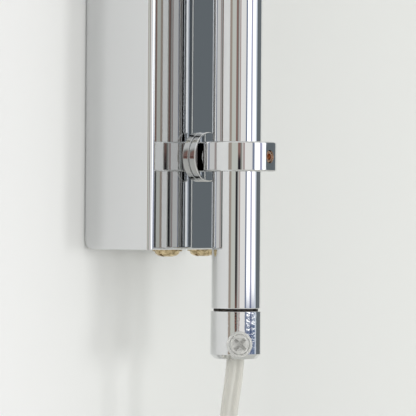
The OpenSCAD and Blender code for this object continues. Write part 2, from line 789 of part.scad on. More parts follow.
module socket_insulator() {
    liner_h = 36;
    color("saddlebrown") at_lamp() difference() {
        turned_tube(liner_r, liner_r - liner_t, core_z, core_z + liner_h, 0.1);
        translate([0, 0, key_z]) out_rod(key_r + 1, core_r - 2, socket_r);
    }
}

module socket_shell() {
    z0 = socket_z + socket_cap_h;
    color(chrome) at_lamp() difference() {
        turned([[socket_r - socket_sheet, z0], [socket_r, z0], [socket_r, z0 + socket_shell_h - 2],
            [socket_r + 0.6, z0 + socket_shell_h - 1], [socket_r, z0 + socket_shell_h],
            [socket_r - socket_sheet, z0 + socket_shell_h]]);
        translate([0, 0, key_z]) out_rod(key_r + 1.2, core_r - 2, socket_r + 3);
    }
}

module socket_core() {
    color([0.13, 0.12, 0.11]) at_lamp() difference() {
        translate([0, 0, core_z]) cylinder(r = core_r, h = core_h);
        translate([0, 0, key_z]) out_rod(key_r + run_gap, 6, core_r + 2);
    }
}

module socket_contacts() {
    z0 = core_z + core_h;
    color(brass) at_lamp() {
        turned_tube(screw_shell_r, screw_shell_r - 0.4, z0, z0 + 18, 0.05);
        translate([0, 0, z0]) cylinder(r = 3, h = 3);
    }
}

module bulb_base() {
    color([0.75, 0.75, 0.76]) at_lamp() turned([[0, bulb_z], [4.5, bulb_z], [4.5, bulb_z + 1],
        [bulb_base_r - 1, bulb_z + 4], [bulb_base_r, bulb_z + 5], [bulb_base_r, bulb_neck_z],
        [0, bulb_neck_z]]);
}

module bulb_body(shell) {
    r = bulb_d / 2 - shell;
    shoulder = bulb_centre_z - 13;
    translate([0, 0, bulb_neck_z + shell])
        cylinder(r1 = bulb_base_r + 0.5 - shell, r2 = sqrt(r * r - 169) - 0.1,
            h = shoulder - bulb_neck_z - shell);
    translate([0, 0, bulb_centre_z]) sphere(r = r, $fn = 96);
}

module bulb_glass() {
    color([0.96, 0.95, 0.92, 0.8]) at_lamp() difference() {
        bulb_body(0);
        bulb_body(1);
    }
}

// Inner radius of the shade at a height
function shade_inner(z) = shade_bottom_d / 2
    + (shade_top_d - shade_bottom_d) / 2 * (z - shade_z) / shade_h - shade_t;

module shade_ring(z) {
    rotate_extrude() translate([shade_inner(z) - shade_wire_r - 0.15, z]) circle(r = shade_wire_r, $fn = 32);
}

module shade_spider() {
    ring_z = shade_top - shade_wire_r - 0.2;
    reach = shade_inner(ring_z) - shade_wire_r - 0.15;
    rise = ring_z - spider_z - spider_t / 2;
    tilt = atan2(rise, reach - 7);
    color("ivory") at_lamp() {
        difference() {
            translate([0, 0, spider_z]) cylinder(r = 10, h = spider_t);
            translate([0, 0, spider_z - 1]) cylinder(r = harp_stud_r + 0.2, h = spider_t + 2);
        }
        for (turn = [0, 120, 240]) rotate([0, 0, turn + 90])
            translate([7, 0, spider_z + spider_t / 2]) rotate([0, 90 - tilt, 0])
                cylinder(r = 1, h = norm([reach - 7, rise]));
        shade_ring(ring_z);
    }
}

module shade_bottom_ring() {
    color("ivory") at_lamp() shade_ring(shade_z + shade_wire_r + 0.2);
}

module shade_skin() {
    color([0.93, 0.9, 0.83]) at_lamp() translate([0, 0, shade_z]) difference() {
        cylinder(d1 = shade_bottom_d, d2 = shade_top_d, h = shade_h, $fn = 128);
        slope = (shade_top_d - shade_bottom_d) / shade_h;
        translate([0, 0, -1]) cylinder(d1 = shade_bottom_d - 2 * shade_t - slope,
            d2 = shade_top_d - 2 * shade_t + slope, h = shade_h + 2, $fn = 128);
    }
}

module shade_finial() {
    z0 = spider_z + spider_t;
    bore = harp_stud_r + thread_gap;
    color(chrome) at_lamp() difference() {
        union() {
            turned([[0, z0], [6, z0], [6, z0 + 2], [4.2, z0 + 4], [4.2, z0 + 11], [0, z0 + 11]]);
            translate([0, 0, z0 + 16]) sphere(r = 7);
        }
        translate([0, 0, z0 - 1]) cylinder(r = bore, h = harp_top + harp_stud_h + 0.3 - z0 + 1);
    }
}

module outer_arm_lead() {
    color(clear_plastic) at_elbow() translate([0, 0, arm2_z]) arm_lead(core_z - arm2_z);
}

// ---- Switch ----

module switch_key() {
    knob_from = socket_r + 4;
    knob_to = knob_from + 9;
    knob_r = 5.5;
    color([0.13, 0.12, 0.11]) at_lamp() translate([0, 0, key_z]) difference() {
        union() {
            out_rod(key_r, 7, knob_from + 1);
            out_rod(knob_r, knob_from, knob_to);
        }
        for (turn = [0:30:359]) rotate([0, turn, 0]) translate([0, 0, knob_r + 0.4])
            out_rod(1, knob_from + 1.5, knob_to + 1);
    }
}

wall_box();
wall_bracket();
cover_screws();
standoff_disc(-clamp_z);  // lower_standoff_disc
standoff_disc(clamp_z);  // upper_standoff_disc
clamp(-clamp_z);  // lower_clamp
clamp(clamp_z);  // upper_clamp
clamp_set_screws();
clamp_bolts();
clamp_washers();
post_tube();
post_end_cap();
cord_grip_screw();
post_head();
post_nipple();
post_locknut();
post_washer();
post_lead();
supply_cord();
cord_hank();
hank_tie();
cord_tail();
plug_body();
plug_blades();
inner_arm_hub();
inner_hub_cap();
inner_arm_tube();
elbow_lower_hub();
elbow_lower_cap();
elbow_nipple();
elbow_locknuts();
elbow_washer();
inner_arm_lead();
elbow_upper_hub();
elbow_upper_cap();
outer_arm_tube();
arm_end_hub();
arm_end_cap();
riser_nipple();
riser_locknuts();
riser_sleeve();
harp_saddle();
harp();
harp_ferrules();
socket_cap();
socket_insulator();
socket_shell();
socket_core();
socket_contacts();
bulb_base();
bulb_glass();
shade_spider();
shade_bottom_ring();
shade_skin();
shade_finial();
outer_arm_lead();
switch_key();
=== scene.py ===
# %% [markdown]
# # A swing arm wall sconce
# A chrome box screwed to the wall carries an upright post in two clamps. Two folding arms turn on
# the post's head and carry a socket, a harp and a linen shade. A clear twin lead leaves the post's
# lower end.

# %% Load the frame
import json
import math

import bpy
from mathutils import Matrix, Vector


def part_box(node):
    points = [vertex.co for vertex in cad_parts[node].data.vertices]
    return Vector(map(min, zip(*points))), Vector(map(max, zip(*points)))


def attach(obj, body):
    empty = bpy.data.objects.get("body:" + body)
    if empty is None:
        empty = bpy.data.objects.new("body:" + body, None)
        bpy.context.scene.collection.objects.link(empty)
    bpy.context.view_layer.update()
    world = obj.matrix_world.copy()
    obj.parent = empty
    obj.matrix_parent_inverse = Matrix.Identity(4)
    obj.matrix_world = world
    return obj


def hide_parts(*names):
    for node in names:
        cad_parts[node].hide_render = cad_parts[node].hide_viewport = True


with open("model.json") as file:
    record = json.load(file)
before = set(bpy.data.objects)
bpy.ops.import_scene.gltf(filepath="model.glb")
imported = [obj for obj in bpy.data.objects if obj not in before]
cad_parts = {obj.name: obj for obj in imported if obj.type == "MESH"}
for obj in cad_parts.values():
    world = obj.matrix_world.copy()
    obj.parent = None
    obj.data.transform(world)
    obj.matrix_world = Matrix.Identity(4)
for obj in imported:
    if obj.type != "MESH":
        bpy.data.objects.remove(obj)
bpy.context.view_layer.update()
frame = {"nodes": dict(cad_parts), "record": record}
MM = 0.001

# %% [markdown]
# Values that many pieces share are read from the nodes' boxes once. The post's axis is the
# line that nearly everything in the lower half is placed from, and the three turning axes above it
# belong to the post, the elbow and the lamp.

# %% Driving places
def middle(node):
    """The centre of a node's box."""
    low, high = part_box(node)
    return (low + high) / 2


def axis_of(node):
    """The upright axis through a node, as a point at height zero."""
    centre = middle(node)
    return Vector((centre.x, centre.y, 0))


post_axis = axis_of("post_tube")
elbow_axis = axis_of("elbow_nipple")
lamp_axis = axis_of("bulb_glass")
post_r = (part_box("post_tube")[1].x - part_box("post_tube")[0].x) / 2
box_low, box_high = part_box("wall_box")
box_front = box_low.y
clamp_low, clamp_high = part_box("lower_clamp")
clamp_z = (clamp_low.z + clamp_high.z) / 2
print("post axis:", [round(v / MM, 2) for v in post_axis], "radius:", round(post_r / MM, 2))

# %% [markdown]
# The camera stands level with the lower clamp and looks from the front left, 55 degrees off the
# wall's own direction, through a long lens. A long lens keeps upright lines upright, and a turn of
# under half a degree about the view line gives them their slight lean.

# %% Camera
CAMERA_TURN = math.radians(-55)
CAMERA_DISTANCE = 1.1
CAMERA_LEAN = math.radians(0.4)
CAMERA_LENS = 293
SENSOR_WIDTH = 36
aim_left = 9.26 * MM
aim_below = 16.7 * MM

camera_back = Vector((math.sin(CAMERA_TURN), -math.cos(CAMERA_TURN), 0))
camera_right = Vector((math.cos(CAMERA_TURN), math.sin(CAMERA_TURN), 0))
aim = post_axis - camera_right * aim_left + Vector((0, 0, clamp_z - aim_below))
bpy.ops.object.camera_add(location=aim + camera_back * CAMERA_DISTANCE)
camera = bpy.context.object
camera.data.lens = CAMERA_LENS
camera.data.sensor_width = SENSOR_WIDTH
turned_view = Matrix.Rotation(CAMERA_TURN, 4, "Z") @ Matrix.Rotation(math.radians(90), 4, "X")
camera.rotation_euler = (turned_view @ Matrix.Rotation(CAMERA_LEAN, 4, "Z")).to_euler()
bpy.context.scene.camera = camera
print("camera at", [round(v, 3) for v in camera.location])

# %% [markdown]
# ## Working by hand, in code
# An operator acts on whatever is selected, so a helper leaves just one piece selected and active.
# Another one finishes a piece: it puts the place into the mesh, rounds the shading, gives the
# material, ties the piece to its body, and hides the nodes that it stands for.

# %% Helpers for pieces
def pick(piece):
    """Leaves one piece selected and active."""
    bpy.ops.object.select_all(action="DESELECT")
    piece.select_set(True)
    bpy.context.view_layer.objects.active = piece


def settle(piece):
    """Puts a piece's place, turn and size into its mesh."""
    pick(piece)
    bpy.ops.object.transform_apply(location=True, rotation=True, scale=True)


def apply_modifier(piece, kind, **settings):
    """Adds a modifier, sets it and applies it."""
    modifier = piece.modifiers.new(kind.lower(), kind)
    for name, value in settings.items():
        setattr(modifier, name, value)
    pick(piece)
    bpy.ops.object.modifier_apply(modifier=modifier.name)


def ease_edges(piece, width, segments=2, angle=35):
    """Rounds every edge sharper than the angle, as polishing does."""
    apply_modifier(piece, "BEVEL", width=width, segments=segments, limit_method="ANGLE",
                   angle_limit=math.radians(angle))


def finish_piece(piece, name, body, slot, material, *nodes, smooth=35, weighted=True):
    """Puts a piece's place into its mesh, shades it, ties it to its body and hides its nodes."""
    settle(piece)
    bpy.ops.object.shade_smooth_by_angle(angle=math.radians(smooth))
    if weighted:
        apply_modifier(piece, "WEIGHTED_NORMAL", keep_sharp=True)
    piece.name = name
    piece.data.name = name
    piece.data.materials.clear()
    piece.data.materials.append(material)
    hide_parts(*nodes)
    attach(piece, body)
    size = piece.dimensions / MM
    faces = len(piece.data.polygons)
    print(f"{name}: {size.x:.1f} x {size.y:.1f} x {size.z:.1f} mm, {faces} faces")
    return piece

# %% [markdown]
# Most of this lamp is turned on a lathe: tubes, hubs, caps, nuts and screws. Each is drawn as half
# of its section, a short list of (radius, height) points, and spun round its axis. The points that
# the spin laid on each other are merged, and then the faces are turned outwards.

# %% Helpers for turned and drilled pieces
def tidy_faces(piece, merge=1e-6):
    """Merges points that lie on each other and turns the faces outwards."""
    pick(piece)
    bpy.ops.object.mode_set(mode="EDIT")
    bpy.ops.mesh.select_all(action="SELECT")
    bpy.ops.mesh.remove_doubles(threshold=merge)
    bpy.ops.mesh.normals_make_consistent(inside=False)
    bpy.ops.object.mode_set(mode="OBJECT")


def draw_piece(points, edges=(), faces=()):
    """A new mesh object from points in millimetres."""
    mesh = bpy.data.meshes.new("drawn")
    mesh.from_pydata([Vector(p) * MM for p in points], list(edges), list(faces))
    piece = bpy.data.objects.new("drawn", mesh)
    bpy.context.collection.objects.link(piece)
    return piece


def turn_piece(outline, place=(0, 0, 0), steps=128):
    """Spins an outline of (radius, height) points in millimetres round a place's upright."""
    count = len(outline)
    edges = [(i, i + 1) for i in range(count - 1)]
    if outline[0][0] > 0 and outline[-1][0] > 0:
        edges.append((count - 1, 0))
    piece = draw_piece([(r, 0, z) for r, z in outline], edges)
    pick(piece)
    bpy.ops.object.mode_set(mode="EDIT")
    bpy.ops.mesh.select_all(action="SELECT")
    bpy.ops.mesh.spin(steps=steps, angle=math.tau, center=(0, 0, 0), axis=(0, 0, 1))
    bpy.ops.object.mode_set(mode="OBJECT")
    tidy_faces(piece)
    piece.location = place
    return piece


def face_along(piece, direction):
    """Turns a piece that was made upright so that its top faces a direction, and applies that."""
    piece.rotation_euler = Vector((0, 0, 1)).rotation_difference(Vector(direction)).to_euler()
    pick(piece)
    bpy.ops.object.transform_apply(location=False, rotation=True, scale=False)
    return piece


def cut_with(piece, cutter, operation="DIFFERENCE"):
    """Cuts a piece with another one and takes the cutter away."""
    apply_modifier(piece, "BOOLEAN", operation=operation, solver="EXACT", object=cutter)
    bpy.data.objects.remove(cutter)


def drill(piece, radius, start, end, vertices=64):
    """Drills a round hole from one point to another, all in metres."""
    start = Vector(start)
    line = Vector(end) - start
    bpy.ops.mesh.primitive_cylinder_add(vertices=vertices, radius=radius, depth=line.length,
                                        location=start + line / 2)
    cutter = bpy.context.object
    cutter.rotation_euler = Vector((0, 0, 1)).rotation_difference(line).to_euler()
    cut_with(piece, cutter)

# %% [markdown]
# ## Finishes
# Each finish starts from the real one. One function turns an sRGB hex value into linear light, one
# starts a material and one adds a node with its settings and its links.

# %% Helpers for materials
def linear(hex_code):
    """The linear colour of an sRGB hex value."""
    parts = [int(hex_code[i:i + 2], 16) / 255 for i in (0, 2, 4)]
    return [p / 12.92 if p <= 0.04045 else ((p + 0.055) / 1.055) ** 2.4 for p in parts] + [1.0]


def start_material(name, color, **settings):
    """A material whose shader gets a colour and its sockets' values, with spaces written as _."""
    material = bpy.data.materials.new(name)
    material.use_nodes = True
    shader = material.node_tree.nodes["Principled BSDF"]
    shader.inputs["Base Color"].default_value = linear(color)
    for socket, value in settings.items():
        shader.inputs[socket.replace("_", " ")].default_value = value
    return material


def add_node(tree, kind, inputs=(), stops=(), **properties):
    """Adds a node: properties, inputs as values or links, and a ramp's (place, hex) stops."""
    node = tree.nodes.new(kind)
    for name, value in properties.items():
        setattr(node, name, value)
    for name, value in dict(inputs).items():
        if isinstance(value, bpy.types.NodeSocket):
            tree.links.new(value, node.inputs[name])
        else:
            node.inputs[name].default_value = value
    while stops and len(node.color_ramp.elements) < len(stops):
        node.color_ramp.elements.new(1.0)
    for element, (place, hex_code) in zip(node.color_ramp.elements if stops else (), stops):
        element.position = place
        element.color = linear(hex_code)
    return node


def feed_shader(material, **links):
    """Links outputs to the shader's sockets, with spaces written as _."""
    shader = material.node_tree.nodes["Principled BSDF"]
    for socket, output in links.items():
        material.node_tree.links.new(output, shader.inputs[socket.replace("_", " ")])

# %% [markdown]
# **Polished chrome plate.** Chrome over buffed nickel mirrors the room, so its look is the room's
# bands of light and dark. What is its own is a slightly cool grey, a faint waviness from buffing
# that bends the bands a little, and a thin haze of finger marks in the roughness.

# %% Polished chrome
def make_chrome(name, wave_depth, haze_low, haze_high):
    """Chrome with a waviness of some millimetres' depth and a haze between two roughnesses."""
    chrome = start_material(name, "DCDDDE", Metallic=1.0, Roughness=0.03)
    tree = chrome.node_tree
    place = add_node(tree, "ShaderNodeTexCoord").outputs["Object"]
    wave = add_node(tree, "ShaderNodeTexNoise", {"Vector": place, "Scale": 1 / (22 * MM),
                                                 "Detail": 1.0})
    bump = add_node(tree, "ShaderNodeBump", {"Height": wave.outputs["Fac"], "Strength": 1.0,
                                            "Distance": wave_depth * MM})
    smear = add_node(tree, "ShaderNodeTexNoise", {"Vector": place, "Scale": 1 / (9 * MM),
                                                  "Detail": 5.0})
    haze = add_node(tree, "ShaderNodeMapRange", {"Value": smear.outputs["Fac"], "From Min": 0.35,
                                                 "From Max": 0.75, "To Min": haze_low,
                                                 "To Max": haze_high})
    feed_shader(chrome, Normal=bump.outputs["Normal"], Roughness=haze.outputs["Result"])
    return chrome


chrome = make_chrome("polished chrome plate", 0.012, 0.02, 0.05)

# %% [markdown]
# **Chrome over a die casting.** The end cap is cast and tumbled, not buffed flat. Its plating is
# as bright as the tube's, but small dents under it break up the edges of what it mirrors. They
# are drawn about a millimetre apart, a little coarser than real ones, so that they show.

# %% Cast chrome
def make_cast_chrome():
    """Chrome with the shallow dents of a casting under it."""
    cast = make_chrome("chrome over die casting", 0.02, 0.03, 0.08)
    tree = cast.node_tree
    place = add_node(tree, "ShaderNodeTexCoord").outputs["Object"]
    dents = add_node(tree, "ShaderNodeTexNoise", {"Vector": place, "Scale": 1 / (1.2 * MM),
                                                  "Detail": 2.0, "Roughness": 0.6})
    waviness = next(n for n in tree.nodes if n.type == "BUMP")
    relief = add_node(tree, "ShaderNodeBump", {"Height": dents.outputs["Fac"], "Strength": 1.0,
                                              "Distance": 0.018 * MM,
                                              "Normal": waviness.outputs["Normal"]})
    feed_shader(cast, Normal=relief.outputs["Normal"])
    return cast


cast_chrome = make_cast_chrome()

# %% [markdown]
# **Brass and steel hardware.** Screws and nuts are turned brass that has gone dull and a little
# brown in its corners, and the fixings in the box are bright zinc-plated steel with the soft
# mottling of the plating bath.

# %% Brass and zinc
def make_worn_metal(name, light, dark, patch, low, high):
    """A metal whose colour and roughness wander together in patches of some millimetres."""
    metal = start_material(name, light, Metallic=1.0)
    tree = metal.node_tree
    place = add_node(tree, "ShaderNodeTexCoord").outputs["Object"]
    stain = add_node(tree, "ShaderNodeTexNoise", {"Vector": place, "Scale": 1 / (patch * MM),
                                                  "Detail": 4.0, "Roughness": 0.65})
    tint = add_node(tree, "ShaderNodeValToRGB", {"Fac": stain.outputs["Fac"]},
                    [(0.38, dark), (0.60, light)])
    rough = add_node(tree, "ShaderNodeMapRange", {"Value": stain.outputs["Fac"], "To Min": high,
                                                  "To Max": low})
    lathe = add_node(tree, "ShaderNodeTexNoise", {"Vector": place, "Scale": 1 / (0.4 * MM)})
    bump = add_node(tree, "ShaderNodeBump", {"Height": lathe.outputs["Fac"], "Strength": 0.4,
                                            "Distance": 0.01 * MM})
    feed_shader(metal, Base_Color=tint.outputs["Color"], Roughness=rough.outputs["Result"],
                Normal=bump.outputs["Normal"])
    return metal


brass = make_worn_metal("tarnished turned brass", "E6D3AC", "A08A66", 1.2, 0.2, 0.42)
copper_brass = make_worn_metal("reddened turned brass", "E9C4A6", "B98668", 1.5, 0.18, 0.35)
zinc_steel = make_worn_metal("zinc-plated steel", "B9BDC0", "9A9DA0", 5, 0.25, 0.4)
nickel = make_worn_metal("nickel-plated brass", "C9C4B8", "A9A396", 3, 0.14, 0.3)
aluminium = make_worn_metal("rolled aluminium", "D2D3D4", "B5B6B7", 2, 0.22, 0.35)

# %% [markdown]
# ## The cover box
# The box is a drawn steel cover, open at the wall. Its plan has round front corners, and its side
# view has a finely rolled front edge and a larger corner next to the wall. Both views are made as
# blocks with bevelled edges. Where the two blocks meet is the outside of the box, and a third,
# smaller block cuts the hollow.

# %% Cover box
def select_edges(piece, wanted):
    """Leaves edit mode with only the edges selected whose ends both pass a test."""
    pick(piece)
    bpy.ops.object.mode_set(mode="EDIT")
    bpy.ops.mesh.select_all(action="DESELECT")
    bpy.ops.mesh.select_mode(type="EDGE")
    bpy.ops.object.mode_set(mode="OBJECT")
    for edge in piece.data.edges:
        ends = [piece.matrix_world @ piece.data.vertices[v].co for v in edge.vertices]
        edge.select = all(wanted(end) for end in ends)


def bevel_selected(piece, width, segments):
    """Bevels the selected edges by hand, in edit mode."""
    pick(piece)
    bpy.ops.object.mode_set(mode="EDIT")
    bpy.ops.mesh.bevel(offset=width, segments=segments, affect="EDGES")
    bpy.ops.object.mode_set(mode="OBJECT")


def add_block(low, high):
    """A block between two corners, with its place and size applied."""
    low, high = Vector(low), Vector(high)
    bpy.ops.mesh.primitive_cube_add(size=1, location=(low + high) / 2)
    block = bpy.context.object
    block.scale = high - low
    settle(block)
    return block


BOX_WALL = 1.2 * MM
BOX_CORNER = 2 * MM
BOX_ROLL = 0.8 * MM
BOX_BACK_CORNER = 3.2 * MM
margin = 5 * MM

plan = add_block(box_low - Vector((0, 0, margin)), box_high + Vector((0, 0, margin)))
select_edges(plan, lambda p: p.y < box_front + MM and abs(p.x) > box_high.x - MM)
bevel_selected(plan, BOX_CORNER, 12)
side_view = add_block(box_low - Vector((margin, 0, 0)), box_high + Vector((margin, 0, 0)))
select_edges(side_view, lambda p: p.y < box_front + MM and p.z < box_low.z + MM)
bevel_selected(side_view, BOX_ROLL, 8)
select_edges(side_view, lambda p: p.y < box_front + MM and p.z > box_high.z - MM)
bevel_selected(side_view, BOX_ROLL, 8)
for end_z in (box_low.z, box_high.z):
    select_edges(side_view, lambda p: p.y > -MM and abs(p.z - end_z) < MM)
    bevel_selected(side_view, BOX_BACK_CORNER, 14)
cut_with(plan, side_view, "INTERSECT")
hollow = add_block((box_low.x + BOX_WALL, box_front + BOX_WALL, box_low.z + BOX_WALL),
                   (box_high.x - BOX_WALL, margin, box_high.z - BOX_WALL))
cut_with(plan, hollow)

# %% [markdown]
# Four holes go through the sheet: one behind each stand-off disc, and two underneath for the cover
# screws. Their places come from the screws and bolts that go through them.

# %% Holes in the cover box
BOLT_HOLE_R = 2.7 * MM
COVER_SCREW_HOLE_R = 2.3 * MM
for disc in ("lower_standoff_disc", "upper_standoff_disc"):
    at = middle(disc)
    drill(plan, BOLT_HOLE_R, (at.x, box_front - margin, at.z), (at.x, box_front + margin, at.z))
screw_low, screw_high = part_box("cover_screws")
cover_flange_r = (screw_high.y - screw_low.y) / 2
cover_screw_x = screw_high.x - cover_flange_r
cover_screw_y = (screw_low.y + screw_high.y) / 2
for side in (-1, 1):
    spot = Vector((side * cover_screw_x, cover_screw_y, box_low.z))
    drill(plan, COVER_SCREW_HOLE_R, spot - Vector((0, 0, margin)), spot + Vector((0, 0, margin)))
ease_edges(plan, 0.22 * MM)
finish_piece(plan, "cover_box", "wall_mount", "chrome", chrome, "wall_box", smooth=25)

# %% [markdown]
# ## The post and its end cap
# The post is a drawn tube. The end cap is cast: a plug in the tube, a fine groove where a
# narrower neck shows, and a full-width body whose lower rim is chamfered. The rings of the
# outline are eased after the spin, so that each edge catches a thin line of light.

# %% Post tube
TUBE_WALL = 1
tube_low, tube_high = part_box("post_tube")
tube_outline = [(post_r / MM - TUBE_WALL, tube_low.z / MM), (post_r / MM, tube_low.z / MM),
                (post_r / MM, tube_high.z / MM), (post_r / MM - TUBE_WALL, tube_high.z / MM)]
post_piece = turn_piece(tube_outline, post_axis, 192)
ease_edges(post_piece, 0.35 * MM, 4)
finish_piece(post_piece, "chrome_post", "post", "chrome", chrome, "post_tube")

# %% End cap
cap_low, cap_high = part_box("post_end_cap")
cap_r = (cap_high.x - cap_low.x) / 2 / MM
cap_bottom = cap_low.z / MM
groove_top = tube_low.z / MM
GROOVE_TALL = 0.8
CORD_BORE = 3.6
CHAMFER_IN, CHAMFER_UP = 1.4, 1.5
GRIP_HOLE_R = 2.1 * MM
cap_top = groove_top - GROOVE_TALL
neck_r = post_r / MM - TUBE_WALL + 0.25
plug_r = neck_r - 0.3
cap_outline = [(CORD_BORE, cap_bottom), (cap_r - CHAMFER_IN, cap_bottom),
               (cap_r, cap_bottom + CHAMFER_UP), (cap_r, cap_top), (neck_r, cap_top),
               (neck_r, groove_top), (plug_r, groove_top), (plug_r, cap_high.z / MM),
               (CORD_BORE, cap_high.z / MM)]
cap_piece = turn_piece(cap_outline, post_axis, 160)
ease_edges(cap_piece, 0.2 * MM, 3, 30)
grip_at = middle("cord_grip_screw")
grip_way = (Vector((grip_at.x, grip_at.y, 0)) - post_axis).normalized()
grip_line = post_axis + Vector((0, 0, grip_at.z))
drill(cap_piece, GRIP_HOLE_R, grip_line + grip_way * 2 * MM, grip_line + grip_way * 12 * MM)
finish_piece(cap_piece, "cast_end_cap", "post", "chrome", cast_chrome, "post_end_cap")

# %% [markdown]
# The neck in the groove is drawn as dull dark metal, a painted shade for the narrow groove. Its
# faces are found by their place and get a material of their own.

# %% The dark neck, painted shade
# Painted shade: the recessed neck gets a dark, dull metal colour
groove_shade_metal = make_worn_metal("dark groove metal, painted shade", "4B4744", "262423", 1.5, 0.45, 0.6)
cap_piece.data.materials.append(groove_shade_metal)
neck_faces = 0
for face in cap_piece.data.polygons:
    at = (face.center - post_axis) / MM
    if cap_top - 0.05 < at.z < groove_top + 0.05 and math.hypot(at.x, at.y) < neck_r + 0.1:
        face.material_index = 1
        neck_faces += 1
print("neck:", neck_faces, "faces")

# %% [markdown]
# ## Clamps, discs and their screws
# A clamp is one polished casting that the post slides through. Each side of its plan is one big
# arc, from the flat nose in front, which takes a set screw, to the back. The plan is pulled up to
# the clamp's height and bored, and its edges are rounded. Behind it a very short oval stem meets
# the disc on the box. The stem is turned, squeezed to an oval, and joined to the clamp.

# %% Clamp plan
def arc(centre, radius, start, end, steps):
    """Points along an arc, with its angles in degrees."""
    angles = [math.radians(start + (end - start) * i / steps) for i in range(steps + 1)]
    return [(centre[0] + radius * math.cos(a), centre[1] + radius * math.sin(a)) for a in angles]


CLAMP_BORE = post_r / MM + 0.05
CLAMP_BACK = CLAMP_BORE + 2.55
NOSE_HALF = 2.1
clamp_half_w = (clamp_high.x - clamp_low.x) / 2 / MM
stem_reach = (clamp_high.y - post_axis.y) / MM
nose_reach = (post_axis.y - clamp_low.y) / MM
inset = clamp_half_w - NOSE_HALF
deep = nose_reach + CLAMP_BACK
side_r = inset + deep - math.sqrt(2 * inset * deep)
side_x, side_y = clamp_half_w - side_r, CLAMP_BACK - side_r
nose_angle = math.degrees(math.atan2(-nose_reach - side_y, NOSE_HALF - side_x))
half_plan = arc((side_x, side_y), side_r, nose_angle, 90, 72)
clamp_plan = half_plan + [(-x, y) for x, y in reversed(half_plan)]
print(f"clamp plan: {len(clamp_plan)} points, sides of {side_r:.2f} mm radius")

# %% Clamps
# The stem's half width in millimetres, and its height as a share of the clamp's
STEM_HALF = 3.2
STEM_TALL = 0.84
SET_SCREW_HOLE_R = 2.1 * MM
CLAMP_BOLT_HOLE_R = 2.6 * MM


def make_stem(low, high):
    """The oval stem between the clamp's back and the disc."""
    root = CLAMP_BACK - 1.5
    stem = turn_piece([(0, root), (STEM_HALF, root), (STEM_HALF, stem_reach), (0, stem_reach)],
                      steps=96)
    stem.scale = (1, (high.z - low.z) / 2 / MM * STEM_TALL / STEM_HALF, 1)
    pick(stem)
    bpy.ops.object.transform_apply(location=False, rotation=False, scale=True)
    face_along(stem, (0, 1, 0))
    stem.location = post_axis + Vector((0, 0, (low.z + high.z) / 2))
    return stem


def make_clamp(node, name):
    """One clamp, pulled up from its plan, bored, eased all round and given its stem."""
    low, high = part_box(node)
    count = len(clamp_plan)
    piece = draw_piece([(x, y, low.z / MM) for x, y in clamp_plan], faces=[range(count)])
    pick(piece)
    bpy.ops.object.mode_set(mode="EDIT")
    bpy.ops.mesh.select_all(action="SELECT")
    bpy.ops.mesh.extrude_region_move(TRANSFORM_OT_translate={"value": (0, 0, high.z - low.z)})
    bpy.ops.mesh.select_all(action="SELECT")
    bpy.ops.mesh.normals_make_consistent(inside=False)
    bpy.ops.object.mode_set(mode="OBJECT")
    piece.location = post_axis
    settle(piece)
    ease_edges(piece, 0.6 * MM, 5, 40)
    cut_with(piece, make_stem(low, high), "UNION")
    drill(piece, CLAMP_BORE * MM, post_axis + Vector((0, 0, low.z - margin)),
          post_axis + Vector((0, 0, high.z + margin)), 128)
    centre = post_axis + Vector((0, 0, (low.z + high.z) / 2))
    near, far = Vector((0, 5 * MM, 0)), Vector((0, 16 * MM, 0))
    drill(piece, SET_SCREW_HOLE_R, centre - near, centre - far)
    drill(piece, CLAMP_BOLT_HOLE_R, centre + near, centre + far)
    return finish_piece(piece, name, "wall_mount", "chrome", chrome, node, smooth=40)


make_clamp("lower_clamp", "lower_clamp_casting")
make_clamp("upper_clamp", "upper_clamp_casting")

# %% [markdown]
# The stand-off disc is a thick turned washer between the box and the clamp's stem. The set screw
# is a headless brass screw with a hexagon socket, nearly flush with the nose. A screw is made
# upright, cut, and then turned to face the room.

# %% Stand-off discs
OUTWARDS = Vector((0, -1, 0))
DISC_BORE = 2.6


def make_disc(node, name):
    """One disc: turned flat, its rim rounded, and stood up against the box."""
    low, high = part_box(node)
    radius = (high.x - low.x) / 2 / MM
    thick = (high.y - low.y) / MM
    disc = turn_piece([(DISC_BORE, 0), (radius, 0), (radius, thick), (DISC_BORE, thick)])
    ease_edges(disc, 0.45 * MM, 4)
    face_along(disc, OUTWARDS)
    disc.location = (0, box_front, (low.z + high.z) / 2)
    return finish_piece(disc, name, "wall_mount", "chrome", chrome, node)


make_disc("lower_standoff_disc", "lower_chrome_disc")
make_disc("upper_standoff_disc", "upper_chrome_disc")

# %% Set screws
def cut_socket(piece, across, depth, top, sides=6):
    """Cuts a socket with flat sides into a piece's top, in millimetres."""
    bpy.ops.mesh.primitive_cylinder_add(vertices=sides, radius=across / 2 * MM,
                                        depth=depth * 2 * MM, location=(0, 0, top * MM))
    cut_with(piece, bpy.context.object)


def join_pieces(first, others):
    """Joins meshes into the first one."""
    pick(first)
    for other in others:
        other.select_set(True)
    bpy.ops.object.join()
    return first


set_low, set_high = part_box("clamp_set_screws")
set_length = (set_high.y - set_low.y) / MM
set_screws = []
for clamp in ("lower_clamp", "upper_clamp"):
    screw = turn_piece([(0, 0), (1.5, 0), (1.97, 0.5), (1.97, set_length - 0.3),
                        (1.7, set_length), (0, set_length)], steps=64)
    cut_socket(screw, 2.3, 1.3, set_length)
    face_along(screw, OUTWARDS)
    screw.location = (post_axis.x, set_high.y, middle(clamp).z)
    settle(screw)
    set_screws.append(screw)
finish_piece(join_pieces(set_screws[0], set_screws[1:]), "hex_set_screws", "wall_mount", "brass",
             copper_brass, "clamp_set_screws")

